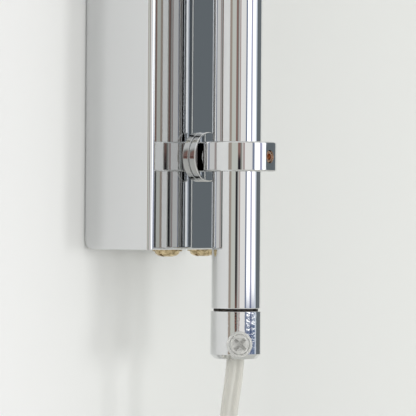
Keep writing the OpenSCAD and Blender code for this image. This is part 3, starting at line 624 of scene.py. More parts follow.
# %% Cover screws
flange_bottom = box_low.z / MM - 0.6
screw_bottom = screw_low.z / MM
head_r = cover_flange_r / MM * 0.86
cover_screws = []
for side in (-1, 1):
    screw = turn_piece([(0, screw_bottom), (head_r * 0.45, screw_bottom),
                        (head_r * 0.75, screw_bottom + 0.35), (head_r * 0.93, screw_bottom + 0.9),
                        (head_r, screw_bottom + 1.7), (cover_flange_r / MM, flange_bottom),
                        (cover_flange_r / MM, box_low.z / MM), (2, box_low.z / MM),
                        (2, screw_high.z / MM), (0, screw_high.z / MM)], steps=96)
    ease_edges(screw, 0.12 * MM, 2)
    slot_cut = add_block((-6 * MM, -0.5 * MM, screw_bottom * MM - MM),
                         (6 * MM, 0.5 * MM, screw_bottom * MM + 0.8 * MM))
    cut_with(screw, slot_cut)
    screw.location = (side * cover_screw_x, cover_screw_y, 0)
    settle(screw)
    cover_screws.append(screw)
finish_piece(join_pieces(cover_screws[0], cover_screws[1:]), "slotted_cover_screws", "wall_mount",
             "brass", brass, "cover_screws")

# %% [markdown]
# ## The clear grip screw
# A moulded polycarbonate screw pinches the lead in the cap. Its low head has a round rim with a
# groove inside it, and a cross recess.
#
# **Clear plastic.** It shows mostly what it bends, so its index does the work. A part of it is
# milky rather than clear, with a trace of roughness from the mould and a few flow marks in the
# surface.

# %% Clear polycarbonate and the grip screw
def make_clear_plastic(name, color, ior, clear, rough, ripple, depth):
    """Clear plastic, partly hazy, with a ripple of a width and a depth in millimetres."""
    plastic = start_material(name, color, Roughness=rough, IOR=ior, Transmission_Weight=clear)
    tree = plastic.node_tree
    place = add_node(tree, "ShaderNodeTexCoord").outputs["Object"]
    flow = add_node(tree, "ShaderNodeTexNoise", {"Vector": place, "Scale": 1 / (ripple * MM),
                                                 "Detail": 2.0})
    bump = add_node(tree, "ShaderNodeBump", {"Height": flow.outputs["Fac"], "Strength": 0.6,
                                            "Distance": depth * MM})
    feed_shader(plastic, Normal=bump.outputs["Normal"])
    return plastic


polycarbonate = make_clear_plastic("clear moulded polycarbonate", "FDFDFB", 1.585, 0.5, 0.03, 0.9,
                                   0.3)
grip_low, grip_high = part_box("cord_grip_screw")
grip_head_r = (grip_high.z - grip_low.z) / 2 / MM
grip_seat = cap_r + 0.1
grip_stem = [(0, 1.8), (2.0, 1.8), (2.0, grip_seat), (grip_head_r - 0.35, grip_seat)]
grip_dome = arc((grip_head_r - 0.9, grip_seat + 0.9), 0.9, -60, 60, 8)
grip_face = [(grip_head_r - 0.75, grip_seat + 1.95), (grip_head_r - 0.95, grip_seat + 1.45),
             (grip_head_r - 1.15, grip_seat + 1.75), (2.4, grip_seat + 2.0), (0, grip_seat + 2.0)]
grip_screw = turn_piece(grip_stem + grip_dome + grip_face, steps=96)
for across in (0, 1):
    long_x, long_y = (2.4, 0.55) if across else (0.55, 2.4)
    recess = add_block((-long_x * MM, -long_y * MM, (grip_seat + 0.9) * MM),
                       (long_x * MM, long_y * MM, (grip_seat + 3) * MM))
    cut_with(grip_screw, recess)
ease_edges(grip_screw, 0.1 * MM, 2, 50)
face_along(grip_screw, grip_way)
grip_screw.location = grip_line
finish_piece(grip_screw, "clear_grip_screw", "post", "clear_polycarbonate", polycarbonate,
             "cord_grip_screw", weighted=False)

# %% [markdown]
# ## The cord
# The lamp hangs on a clear twin lead, two stranded conductors side by side in soft PVC. It leaves
# the end cap straight down, bends back under its own weight, and what is left over is folded in a
# hank that a tie holds. Its route is a list of points where it hangs and a loop where it is
# folded. Each point also carries the direction of the lead's broad side, in degrees.

# %% Route of the hanging stretches
CORD_WIDE = 5.8
CORD_THICK = 3.0
CORD_PITCH = 3.0
lead_points = [(0, -39.5, -150.2), (0, -39.3, -153), (0, -38.8, -157), (0, -38.1, -161.5),
               (0, -37.3, -166.5), (0, -36.6, -171.5), (0, -36, -177), (0, -35.5, -182),
               (0, -35, -188), (0.1, -34, -195), (0.3, -32.2, -203)]
into_hank = [(0.5, -29.5, -215), (0.9, -26, -228), (1.4, -23, -241)]
out_of_hank = [(1.9, -15.6, -266), (2.3, -14.2, -280), (2.5, -13, -290)]
tail_points = [(2.4, -12, -300), (1.7, -10, -310), (1.1, -9.2, -318), (0.6, -9, -328),
               (0.2, -9, -337), (0, -9, -346)]
FACE_AT_CAP = -55
FACE_IN_HANK = -90
FACE_AT_PLUG = 0


def spread_turn(points, start, end):
    """Points with the broad side's direction turning evenly from start to end."""
    last = len(points) - 1
    return [(Vector(p), start + (end - start) * i / last) for i, p in enumerate(points)]

# %% [markdown]
# The hank is folded on edge, so the lead bends only through its thin side. It has five turns in
# six places: three layers across the lead's width and two nests, one inside the other. A place is
# kept down one run, round the lower fold and up the other, and the upper fold carries the lead
# over to the next place. There the outer nest stands off further, so that strands pass without
# touching.

# %% Route of the hank
HANK_CENTRE = Vector((0, -22, -254))
HANK_HALF_RUN = 46
FOLD_R = 17.4
NEST_STEP = 3.2
NEST_STEP_ABOVE = 5.0
LAYER_STEP = 6
WAIST = 1.7
places = [(0, 0), (-1, 0), (-1, 1), (0, 1), (1, 1), (1, 0)]


def run_point(side, height, layer, nest, fold_step):
    """A point on a run: pinched at the tie, at the fold's width at the end."""
    waist = WAIST + NEST_STEP * nest
    spread = FOLD_R + fold_step * nest - waist
    swell = (1 - math.cos(math.pi * height / HANK_HALF_RUN)) / 2
    return HANK_CENTRE + Vector((side * (waist + spread * swell), LAYER_STEP * layer, height))


def fold_point(angle, end, radius, layer):
    """A point on a fold. The angle goes from one run over the end to the other."""
    a = math.radians(angle)
    return HANK_CENTRE + Vector((radius * math.cos(a), LAYER_STEP * layer,
                                 end * (HANK_HALF_RUN + radius * math.sin(a))))


def hank_points():
    """The hank's centreline, from the tie down its right side and round five times."""
    steps = 14
    points = []
    for (layer, nest), (next_layer, next_nest) in zip(places, places[1:]):
        for i in range(steps):
            points.append(run_point(1, -HANK_HALF_RUN * i / steps, layer, nest, NEST_STEP))
        for i in range(2 * steps):
            radius = FOLD_R + NEST_STEP * nest
            points.append(fold_point(180 * i / (2 * steps), -1, radius, layer))
        for i in range(steps):
            points.append(run_point(-1, -HANK_HALF_RUN * (1 - i / steps), layer, nest, NEST_STEP))
        for i in range(steps):
            points.append(run_point(-1, HANK_HALF_RUN * i / steps, layer, nest, NEST_STEP_ABOVE))
        for i in range(2 * steps):
            part = i / (2 * steps)
            swell = (1 - math.cos(math.pi * part)) / 2
            radius = FOLD_R + NEST_STEP_ABOVE * (nest + (next_nest - nest) * swell)
            over = layer + (next_layer - layer) * swell
            points.append(fold_point(180 - 180 * part, 1, radius, over))
        for i in range(steps):
            height = HANK_HALF_RUN * (1 - i / steps)
            points.append(run_point(1, height, next_layer, next_nest, NEST_STEP_ABOVE))
    return points + [run_point(1, 0, *places[-1], NEST_STEP)]

# %% [markdown]
# The whole route is joined, smoothed through its points with a cubic, and cut into even steps of
# three millimetres. The lead's length comes out of this, and it is the usual 1.8 m.

# %% Whole route
def even_steps(route, pitch):
    """A smooth line through the route's points, at an even pitch, with its turn carried along."""
    fine = []
    for i in range(len(route) - 1):
        (a, turn_a), (b, turn_b) = route[i], route[i + 1]
        before = route[max(i - 1, 0)][0]
        after = route[min(i + 2, len(route) - 1)][0]
        for k in range(8):
            t = k / 8
            bow = (b - before) * (t - 2 * t * t + t ** 3) / 2 + (after - a) * (t ** 3 - t * t) / 2
            line = a * (1 - 3 * t * t + 2 * t ** 3) + b * (3 * t * t - 2 * t ** 3)
            fine.append((line + bow, turn_a + (turn_b - turn_a) * t))
    fine.append(route[-1])
    lengths = [0.0]
    for (a, _), (b, _) in zip(fine, fine[1:]):
        lengths.append(lengths[-1] + (b - a).length)
    count = round(lengths[-1] / pitch)
    even = []
    k = 0
    for i in range(count + 1):
        goal = lengths[-1] * i / count
        while k < len(fine) - 2 and lengths[k + 1] < goal:
            k += 1
        part = (goal - lengths[k]) / (lengths[k + 1] - lengths[k])
        (a, turn_a), (b, turn_b) = fine[k], fine[k + 1]
        even.append((a + (b - a) * part, turn_a + (turn_b - turn_a) * part))
    return even, lengths[-1]


route = spread_turn(lead_points, FACE_AT_CAP, FACE_IN_HANK)
route += [(Vector(p), FACE_IN_HANK) for p in into_hank]
route += [(p, FACE_IN_HANK) for p in hank_points()]
route += [(Vector(p), FACE_IN_HANK) for p in out_of_hank]
route += spread_turn(tail_points, FACE_IN_HANK, FACE_AT_PLUG)
cord_route, cord_length = even_steps(route, CORD_PITCH)
print(f"cord: {cord_length / 1000:.3f} m in {len(cord_route)} steps")

# %% [markdown]
# A section is swept along the route. At each step it stands square to the line, with its broad
# side in the direction that the route carries. The UV map runs along the lead in millimetres and
# once round the section, so that a pattern can follow the twist of the wires.

# %% Sweep a section along the route
def sweep(section, line):
    """A closed tube: the section's (across, through) points in millimetres, along the line."""
    rings = []
    last = len(line) - 1
    for i, (point, turn) in enumerate(line):
        ahead = (line[min(i + 1, last)][0] - line[max(i - 1, 0)][0]).normalized()
        broad = Vector((math.cos(math.radians(turn)), math.sin(math.radians(turn)), 0))
        broad = (broad - ahead * broad.dot(ahead)).normalized()
        thin = ahead.cross(broad)
        rings.append([point + broad * u + thin * v for u, v in section])
    size = len(section)
    faces = []
    for i in range(last):
        for k in range(size):
            a, b = i * size + k, i * size + (k + 1) % size
            faces.append((a, b, b + size, a + size))
    faces.append(tuple(range(size - 1, -1, -1)))
    faces.append(tuple(last * size + k for k in range(size)))
    piece = draw_piece([p for ring in rings for p in ring], faces=faces)
    layer = piece.data.uv_layers.new(name="UVMap")
    for face in piece.data.polygons[:last * size]:
        ring, k = divmod(face.index, size)
        corners = [(ring, k), (ring, k + 1), (ring + 1, k + 1), (ring + 1, k)]
        for loop, (along, around) in zip(face.loop_indices, corners):
            layer.data[loop].uv = (along * CORD_PITCH, around / size)
    tidy_faces(piece, 1e-7)
    return piece

# %% [markdown]
# **Clear PVC and tinned copper.** The jacket is soft PVC with an index of 1.5 that has turned
# milky, so the strands inside show as pale bands. The strands are finely drawn and tinned, so
# together they look pale and nearly matt. They are twisted with a lay of about 14 mm, which the
# slant below uses.

# %% Cord finishes
clear_pvc = make_clear_plastic("clear flexible PVC", "FCFBF5", 1.5, 0.4, 0.06, 5, 0.06)


def make_strands():
    """Twisted tinned copper: slanting ridges, with painted shade in the gaps between the strands.
    """
    strands = start_material("tinned copper strands", "F8F6EF", Metallic=0.1, Roughness=0.45)
    tree = strands.node_tree
    uv = add_node(tree, "ShaderNodeUVMap", uv_map="UVMap")
    split = add_node(tree, "ShaderNodeSeparateXYZ", {"Vector": uv.outputs["UV"]})
    around = add_node(tree, "ShaderNodeMath", {0: split.outputs["Y"], 1: 8.0}, operation="MULTIPLY")
    slant = add_node(tree, "ShaderNodeMath", {0: split.outputs["X"], 1: 8 / 14,
                                             2: around.outputs["Value"]}, operation="MULTIPLY_ADD")
    place = add_node(tree, "ShaderNodeCombineXYZ", {"X": slant.outputs["Value"]})
    ridges = add_node(tree, "ShaderNodeTexWave", {"Vector": place.outputs["Vector"],
                                                  "Scale": math.tau / 20, "Distortion": 0.6})
    # Painted shade: the ramp darkens the troughs between the strands
    tint = add_node(tree, "ShaderNodeValToRGB", {"Fac": ridges.outputs["Fac"]},
                    [(0.05, "CFC8B8"), (0.45, "EFECE2"), (0.9, "F8F6EF")])
    bump = add_node(tree, "ShaderNodeBump", {"Height": ridges.outputs["Fac"], "Strength": 1.0,
                                            "Distance": 0.06 * MM})
    feed_shader(strands, Base_Color=tint.outputs["Color"], Normal=bump.outputs["Normal"])
    return strands


tinned_strands = make_strands()

# %% Twin lead
LOBE_R = CORD_THICK / 2
LOBE_AT = (CORD_WIDE - CORD_THICK) / 2
web_angle = math.degrees(math.acos(0.35))
right_lobe = arc((LOBE_AT, 0), LOBE_R, -180 + web_angle, 180 - web_angle, 13)
left_lobe = [(-u, -v) for u, v in right_lobe]
jacket = sweep(right_lobe + left_lobe, cord_route)
finish_piece(jacket, "clear_twin_lead", "post", "clear_pvc", clear_pvc,
             "supply_cord", "cord_hank", "cord_tail", smooth=60, weighted=False)
STRAND_R = 0.9
wires = []
for side in (-1, 1):
    wires.append(sweep(arc((side * LOBE_AT, 0), STRAND_R, 0, 324, 9), cord_route))
lead_wires = join_pieces(wires[0], wires[1:])
finish_piece(lead_wires, "lead_wire_strands", "post", "nickel", tinned_strands, smooth=60,
             weighted=False)

# %% [markdown]
# ## What hangs on the cord
# Some pieces already have the right shape in the imported model, but come as loose flat triangles.
# Such a piece is copied, its triangles are merged back into whole faces, and its edges are eased,
# so that it shades as one solid. The fixings inside the box, the joints' nipples, nuts and washers,
# the harp saddle and the socket's liner and core are finished this way too.

# %% Copy a imported piece and finish it
body_names = {node: body for body, nodes in frame["record"]["behaviour"]["bodies"].items()
              for node in nodes}


def finished_copy(node, name, slot, material, ease, angle=35, segments=2):
    """A merged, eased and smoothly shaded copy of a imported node, in its own place."""
    piece = bpy.data.objects.new(name, frame["nodes"][node].data.copy())
    bpy.context.collection.objects.link(piece)
    tidy_faces(piece)
    bpy.ops.object.mode_set(mode="EDIT")
    bpy.ops.mesh.select_all(action="SELECT")
    bpy.ops.mesh.dissolve_limited(angle_limit=math.radians(0.5))
    bpy.ops.object.mode_set(mode="OBJECT")
    ease_edges(piece, ease * MM, segments, angle)
    return finish_piece(piece, name, body_names[node], slot, material, node, smooth=angle)

# %% [markdown]
# **Moulded and fibre parts.** The plug is moulded in the same clear PVC as the lead. The tie is a
# soft black strap, the washers are white nylon that has yellowed a little, the switch key and the
# socket's core are black phenolic, and the socket's liner is red-brown vulcanised fibre.

# %% Moulded finishes
def make_moulded(name, light, dark, grain, rough, relief, **settings):
    """A moulded or pressed surface: two near shades and a fine grain, at a size in millimetres."""
    moulded = start_material(name, light, Roughness=rough, **settings)
    tree = moulded.node_tree
    place = add_node(tree, "ShaderNodeTexCoord").outputs["Object"]
    cloud = add_node(tree, "ShaderNodeTexNoise", {"Vector": place, "Scale": 1 / (grain * 6 * MM),
                                                  "Detail": 5.0})
    tint = add_node(tree, "ShaderNodeValToRGB", {"Fac": cloud.outputs["Fac"]},
                    [(0.35, dark), (0.65, light)])
    skin = add_node(tree, "ShaderNodeTexNoise", {"Vector": place, "Scale": 1 / (grain * MM)})
    bump = add_node(tree, "ShaderNodeBump", {"Height": skin.outputs["Fac"], "Strength": 0.5,
                                            "Distance": relief * MM})
    feed_shader(moulded, Base_Color=tint.outputs["Color"], Normal=bump.outputs["Normal"])
    return moulded


nylon = make_moulded("natural nylon", "EDE8DA", "E2DAC6", 0.8, 0.45, 0.01, IOR=1.53)
strap_rubber = make_moulded("black strap rubber", "2C2C2E", "202022", 0.5, 0.6, 0.03)
phenolic = make_moulded("pressed phenolic", "2A2724", "1B1917", 1.2, 0.28, 0.01, IOR=1.6)
fibre = make_moulded("vulcanised fibre", "8A4B30", "6E3823", 1.0, 0.6, 0.03)
wire_paint = make_moulded("ivory stove enamel", "EFEADC", "E4DDCB", 1.5, 0.35, 0.02)

# %% Plug, blades and tie
plug = finished_copy("plug_body", "moulded_plug", "clear_pvc", clear_pvc, 0.6, 30, 3)
blades = finished_copy("plug_blades", "brass_plug_blades", "brass", brass, 0.25)


def rounded_plan(half_x, half_y, radius, steps=8):
    """A rectangle with round corners, in millimetres, anticlockwise."""
    points = []
    for quarter, (sx, sy) in enumerate(((1, 1), (-1, 1), (-1, -1), (1, -1))):
        centre = (sx * (half_x - radius), sy * (half_y - radius))
        points += arc(centre, radius, 90 * quarter, 90 * quarter + 90, steps)
    return points


def pull_up(plan, low, high):
    """A solid pulled up from a plan between two heights, in millimetres."""
    piece = draw_piece([(x, y, low) for x, y in plan], faces=[range(len(plan))])
    pick(piece)
    bpy.ops.object.mode_set(mode="EDIT")
    bpy.ops.mesh.select_all(action="SELECT")
    bpy.ops.mesh.extrude_region_move(TRANSFORM_OT_translate={"value": (0, 0, (high - low) * MM)})
    bpy.ops.object.mode_set(mode="OBJECT")
    tidy_faces(piece)
    return piece


tie_low, tie_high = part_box("hank_tie")
tie_half = (tie_high - tie_low) / 2 / MM
TIE_T = 0.8
tie = pull_up(rounded_plan(tie_half.x, tie_half.y, 2.4), tie_low.z / MM, tie_high.z / MM)
inside = pull_up(rounded_plan(tie_half.x - TIE_T, tie_half.y - TIE_T, 1.6),
                 tie_low.z / MM - 2, tie_high.z / MM + 2)
cut_with(tie, inside)
ease_edges(tie, 0.25 * MM)
tie.location = axis_of("hank_tie")
finish_piece(tie, "hank_strap", "post", "tie_strap", strap_rubber, "hank_tie")

# %% [markdown]
# ## The post's head and the arms
# Each arm turns on a hollow brass nipple. The post's head is a turned collar. A hub is a turned
# cup with the nipple through its floor and the arm's tube in its side, and a domed cap closes its
# open end. The arms differ only in where they are and which way up their hubs stand.

# %% Post head
head_low, head_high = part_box("post_head")
hub_r = (head_high.x - head_low.x) / 2 / MM
tube_bore = post_r / MM - TUBE_WALL
head_outline = [(4, head_low.z / MM), (tube_bore, head_low.z / MM), (tube_bore, tube_high.z / MM),
                (hub_r, tube_high.z / MM), (hub_r, head_high.z / MM), (4, head_high.z / MM)]
head_piece = turn_piece(head_outline, post_axis, 160)
ease_edges(head_piece, 0.5 * MM, 4)
finish_piece(head_piece, "turned_post_head", "post", "chrome", chrome, "post_head")

# %% Hubs
inner_way = (elbow_axis - post_axis).normalized()
outer_way = (lamp_axis - elbow_axis).normalized()
HUB_FLOOR = 3
CHAMBER_R = hub_r - 2.5
NIPPLE_R = 5
ARM_R = (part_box("inner_arm_tube")[1].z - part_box("inner_arm_tube")[0].z) / 2 / MM


def make_hub(node, name, axis, arm_way, floor_up):
    """A hub cup: its floor at the bottom, or at the top where it stands upside down."""
    low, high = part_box(node)
    tall = (high.z - low.z) / MM
    outline = [(NIPPLE_R, 0), (hub_r, 0), (hub_r, tall), (CHAMBER_R, tall),
               (CHAMBER_R, HUB_FLOOR), (NIPPLE_R, HUB_FLOOR)]
    if floor_up:
        outline = [(r, tall - z) for r, z in outline]
    hub = turn_piece(outline, axis + Vector((0, 0, low.z)), 160)
    settle(hub)
    centre = axis + Vector((0, 0, (low.z + high.z) / 2))
    drill(hub, (ARM_R + 0.02) * MM, centre + arm_way * 5 * MM, centre + arm_way * 15 * MM, 96)
    ease_edges(hub, 0.4 * MM, 3)
    return finish_piece(hub, name, body_names[node], "chrome", chrome, node)


make_hub("inner_arm_hub", "inner_arm_swivel_hub", post_axis, inner_way, False)
make_hub("elbow_lower_hub", "elbow_lower_swivel_hub", elbow_axis, -inner_way, True)
make_hub("elbow_upper_hub", "elbow_upper_swivel_hub", elbow_axis, outer_way, False)
make_hub("arm_end_hub", "arm_end_swivel_hub", lamp_axis, -outer_way, True)

# %% Domed hub caps
def make_dome(node, name, axis, upside_down):
    """A domed plug: a spigot in the hub, a flange on its rim, and a low dome."""
    low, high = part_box(node)
    spigot = 2.5
    flange = 1.2
    rise = (high.z - low.z) / MM - spigot - flange
    base = hub_r - 1
    ball = (base * base + rise * rise) / (2 * rise)
    edge = math.degrees(math.asin(base / ball))
    dome = arc((0, flange + rise - ball), ball, 90 - edge, 90, 16)[:-1]
    outline = [(0, -spigot), (CHAMBER_R - 0.02, -spigot), (CHAMBER_R - 0.02, 0), (hub_r, 0),
               (hub_r, flange)] + dome + [(0, flange + rise)]
    seat = low.z + spigot * MM
    if upside_down:
        outline = [(r, -z) for r, z in outline]
        seat = high.z - spigot * MM
    cap = turn_piece(outline, axis + Vector((0, 0, seat)), 160)
    ease_edges(cap, 0.25 * MM, 3, 30)
    return finish_piece(cap, name, body_names[node], "chrome", chrome, node, smooth=25)


make_dome("inner_hub_cap", "inner_domed_cap", post_axis, False)
make_dome("elbow_lower_cap", "elbow_lower_domed_cap", elbow_axis, True)
make_dome("elbow_upper_cap", "elbow_upper_domed_cap", elbow_axis, False)
make_dome("arm_end_cap", "arm_end_domed_cap", lamp_axis, True)

# %% Arm tubes
def make_arm(node, name, axis, way):
    """A chromed tube from one hub's chamber to the next."""
    low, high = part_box(node)
    reach = (lamp_axis - elbow_axis).length / MM - CHAMBER_R
    tube = turn_piece([(ARM_R - 1, CHAMBER_R), (ARM_R, CHAMBER_R), (ARM_R, reach),
                       (ARM_R - 1, reach)], steps=128)
    face_along(tube, way)
    tube.location = axis + Vector((0, 0, (low.z + high.z) / 2))
    return finish_piece(tube, name, body_names[node], "chrome", chrome, node)


make_arm("inner_arm_tube", "inner_chrome_arm", post_axis, inner_way)
make_arm("outer_arm_tube", "outer_chrome_arm", elbow_axis, outer_way)

# %% Fixings inside
inside_fixings = [("wall_bracket", "steel_wall_bracket", "zinc_steel", zinc_steel, 0.3),
                  ("clamp_bolts", "steel_clamp_bolts", "zinc_steel", zinc_steel, 0.2),
                  ("clamp_washers", "steel_clamp_washers", "zinc_steel", zinc_steel, 0.15),
                  ("post_nipple", "brass_post_nipple", "brass", brass, 0.1),
                  ("post_locknut", "brass_post_locknut", "brass", brass, 0.2),
                  ("post_washer", "nylon_post_washer", "nylon", nylon, 0.15),
                  ("elbow_nipple", "brass_elbow_nipple", "brass", brass, 0.1),
                  ("elbow_locknuts", "brass_elbow_locknuts", "brass", brass, 0.2),
                  ("elbow_washer", "nylon_elbow_washer", "nylon", nylon, 0.15),
                  ("riser_nipple", "brass_riser_nipple", "brass", brass, 0.1),
                  ("riser_locknuts", "brass_riser_locknuts", "brass", brass, 0.2),
                  ("harp_saddle", "nickel_harp_saddle", "nickel", nickel, 0.3),
                  ("socket_insulator", "fibre_socket_liner", "fibre", fibre, 0.1),
                  ("socket_core", "phenolic_socket_core", "phenolic", phenolic, 0.4)]
for node, name, slot, material, ease in inside_fixings:
    finished_copy(node, name, slot, material, ease)
for node in ("post_lead", "inner_arm_lead", "outer_arm_lead"):
    lead = frame["nodes"][node]
    lead.data.materials.clear()
    lead.data.materials.append(clear_pvc)

# %% [markdown]
# ## Socket, bulb and harp
# The socket's brass cap and shell are spun sheet with a chrome finish, with a bead at the mouth.
# The harp is one bent wire whose feet drop into two sleeves. The bulb is the usual frosted one,
# on a rolled aluminium screw.

# %% Riser, socket cap and shell
riser_low, riser_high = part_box("riser_sleeve")
riser_r = (riser_high.x - riser_low.x) / 2 / MM
riser = turn_piece([(NIPPLE_R, riser_low.z / MM), (riser_r, riser_low.z / MM),
                    (riser_r, riser_low.z / MM + 3), (riser_r - 0.5, riser_low.z / MM + 3.5),
                    (riser_r - 0.5, riser_high.z / MM - 3.5), (riser_r, riser_high.z / MM - 3),
                    (riser_r, riser_high.z / MM), (NIPPLE_R, riser_high.z / MM)], lamp_axis)
ease_edges(riser, 0.3 * MM, 3)
finish_piece(riser, "riser_collar", "outer_arm", "chrome", chrome, "riser_sleeve")

sock_low, sock_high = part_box("socket_cap")
sock_r = (sock_high.x - sock_low.x) / 2 / MM
SHEET = 0.8
cone_top = 9
sock_z = sock_low.z / MM
sock_top = sock_high.z / MM
neck = 8.3
sweep_up = [(neck + (sock_r - neck) * math.sin(math.radians(a)),
             sock_z + cone_top * (1 - math.cos(math.radians(a)))) for a in range(10, 91, 10)]
cap_outside = [(NIPPLE_R, sock_z), (neck, sock_z)] + sweep_up + [(sock_r, sock_top)]
cap_inside = [(sock_r - SHEET, sock_top), (sock_r - SHEET, sock_z + cone_top + 0.6),
              (neck, sock_z + SHEET), (NIPPLE_R, sock_z + SHEET)]
sock_cap = turn_piece(cap_outside + cap_inside, lamp_axis, 160)
ease_edges(sock_cap, 0.2 * MM, 2, 40)
finish_piece(sock_cap, "spun_socket_cap", "outer_arm", "chrome", chrome, "socket_cap", smooth=30)

shell_low, shell_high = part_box("socket_shell")
shell_z, shell_top = shell_low.z / MM, shell_high.z / MM
shell_r = sock_r - 0.1
bead = arc((shell_r, shell_top - 1), 0.6, -80, 80, 8)
shell = turn_piece([(shell_r - SHEET, shell_z), (shell_r, shell_z), (shell_r, shell_top - 2)]
                   + bead + [(shell_r, shell_top), (shell_r - SHEET, shell_top)], lamp_axis, 160)
settle(shell)
key_low, key_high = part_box("switch_key")
key_line = lamp_axis + Vector((0, 0, (key_low.z + key_high.z) / 2))
drill(shell, 2.7 * MM, key_line + OUTWARDS * 12 * MM, key_line + OUTWARDS * 22 * MM)
ease_edges(shell, 0.12 * MM, 2, 40)
finish_piece(shell, "spun_socket_shell", "outer_arm", "chrome", chrome, "socket_shell")

# %% Threads: contacts and bulb base
def thread_outline(radius, depth, pitch, start, end):
    """The rounded waves of a rolled lamp thread, as (radius, height) points going up."""
    count = max(2, round((end - start) / pitch))
    rise = (end - start) / count
    wave = [(radius - depth / 2 + depth / 2 * math.sin(math.tau * k / 8), k / 8) for k in range(8)]
    return [(r, start + rise * (i + part)) for i in range(count) for r, part in wave]


con_low, con_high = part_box("socket_contacts")
con_r = (con_high.x - con_low.x) / 2 / MM
con_outer = thread_outline(con_r, 0.35, 3.6, con_low.z / MM, con_high.z / MM)
con_inner = [(r - 0.35, z) for r, z in reversed(con_outer)]
contacts = turn_piece(con_outer + con_inner, lamp_axis)
contact_low = con_low.z / MM
button = turn_piece([(0, contact_low), (3, contact_low), (2.6, contact_low + 2.2),
                     (1.6, contact_low + 3), (0, contact_low + 3)], lamp_axis, 48)
finish_piece(join_pieces(contacts, [button]), "brass_screw_shell", "outer_arm", "brass", brass,
             "socket_contacts")

base_low, base_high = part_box("bulb_base")
base_r = (base_high.x - base_low.x) / 2 / MM
base_z, base_top = base_low.z / MM, base_high.z / MM
base_outline = [(0, base_z), (4, base_z), (4.5, base_z + 1), (base_r - 1.2, base_z + 4)]
base_outline += thread_outline(base_r, 0.8, 3.6, base_z + 5, base_top - 3)
base_outline += [(base_r, base_top - 2), (base_r, base_top), (0, base_top)]
bulb_screw = turn_piece(base_outline, lamp_axis)
finish_piece(bulb_screw, "bulb_screw_base", "outer_arm", "aluminium", aluminium, "bulb_base")

# %% [markdown]
# **Frosted glass.** The bulb is etched inside, so the outer skin is glossy while the light inside
# is scattered. A near-white body with part transmission and a smooth coat gives both.

# %% Bulb glass
frosted = start_material("inside-frosted glass", "F6F4EE", Roughness=0.35, IOR=1.5,
                         Transmission_Weight=0.45, Coat_Weight=1.0, Coat_Roughness=0.03)
frost_tree = frosted.node_tree
frost_place = add_node(frost_tree, "ShaderNodeTexCoord").outputs["Object"]
etch = add_node(frost_tree, "ShaderNodeTexNoise", {"Vector": frost_place, "Scale": 1 / (4 * MM),
                                                   "Detail": 6.0})
etch_tint = add_node(frost_tree, "ShaderNodeValToRGB", {"Fac": etch.outputs["Fac"]},
                     [(0.3, "EFEDE6"), (0.7, "F9F7F2")])
feed_shader(frosted, Base_Color=etch_tint.outputs["Color"])
glass_low, glass_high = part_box("bulb_glass")
glass_r = (glass_high.x - glass_low.x) / 2 / MM
glass_top = glass_high.z / MM
ball_z = glass_top - glass_r
shoulder = arc((0, ball_z), glass_r, -26, 90, 30)
neck_z = glass_low.z / MM
throat_r = base_r + 0.5


def bulb_side(inset):
    """The bulb's side from its neck to its top, a wall's thickness in or not."""
    reach_r, reach_z = shoulder[0]
    flare = []
    for i in range(12):
        t = i / 12
        ease_in = t * t * (3 - 2 * t)
        flare.append((throat_r + (reach_r - throat_r) * ease_in - inset,
                      neck_z + (reach_z - neck_z) * t))
    ball = [(r * (glass_r - inset) / glass_r, ball_z + (z - ball_z) * (glass_r - inset) / glass_r)
            for r, z in shoulder[:-1]]
    return flare + ball


GLASS_T = 1.0
glass_outline = bulb_side(0) + [(0, glass_top), (0, glass_top - GLASS_T)]
glass_outline += list(reversed(bulb_side(GLASS_T)))
bulb = turn_piece(glass_outline, lamp_axis, 96)
finish_piece(bulb, "frosted_bulb", "outer_arm", "frosted_glass", frosted, "bulb_glass", smooth=40)

# %% Harp and its sleeves
sleeve_low, sleeve_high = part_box("harp_ferrules")
harp_low, harp_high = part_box("harp")
SLEEVE_R = 2.8
WIRE_R = 1.5
harp_foot = (sleeve_high.x - sleeve_low.x) / 2 / MM - SLEEVE_R
harp_foot_z = sleeve_high.z / MM - 0.5
STUD_TALL = 14
harp_reach = (harp_high.x - harp_low.x) / 2 / MM - WIRE_R
harp_top = harp_high.z / MM - STUD_TALL
saddle_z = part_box("harp_saddle")[0].z / MM
harp_waist = saddle_z + (harp_top - saddle_z) * 0.52


def harp_bow():
    """The wire's line: up from one foot, out to the waist, over the top and down again."""
    side = [(harp_foot, harp_foot_z)]
    for i in range(19):
        swell = (1 - math.cos(math.pi * i / 18)) / 2
        side.append((harp_foot + (harp_reach - harp_foot) * swell,
                     harp_foot_z + 2 + (harp_waist - harp_foot_z - 2) * i / 18))
    side += [(harp_reach * math.cos(a), harp_waist + (harp_top - harp_waist) * math.sin(a))
             for a in (math.pi / 2 * i / 24 for i in range(1, 25))]
    line = side + [(-x, z) for x, z in reversed(side[:-1])]
    return [(lamp_axis / MM + Vector((x, 0, z)), 90) for x, z in line]


wire = sweep(arc((0, 0), WIRE_R, 0, 342, 19), harp_bow())
thread = [(r, z) for i in range(13) for r, z in ((3.0, harp_top + 1.8 + 0.9 * i),
                                                 (2.6, harp_top + 2.25 + 0.9 * i))]
stud = turn_piece([(0, harp_top - 1), (6, harp_top - 1), (6, harp_top + 1), (5.4, harp_top + 1.6),
                   (3, harp_top + 1.7)] + thread + [(2.4, harp_high.z / MM),
                                                    (0, harp_high.z / MM)], lamp_axis, 96)
finish_piece(join_pieces(wire, [stud]), "bent_wire_harp", "outer_arm", "chrome", chrome, "harp",
             smooth=30, weighted=False)

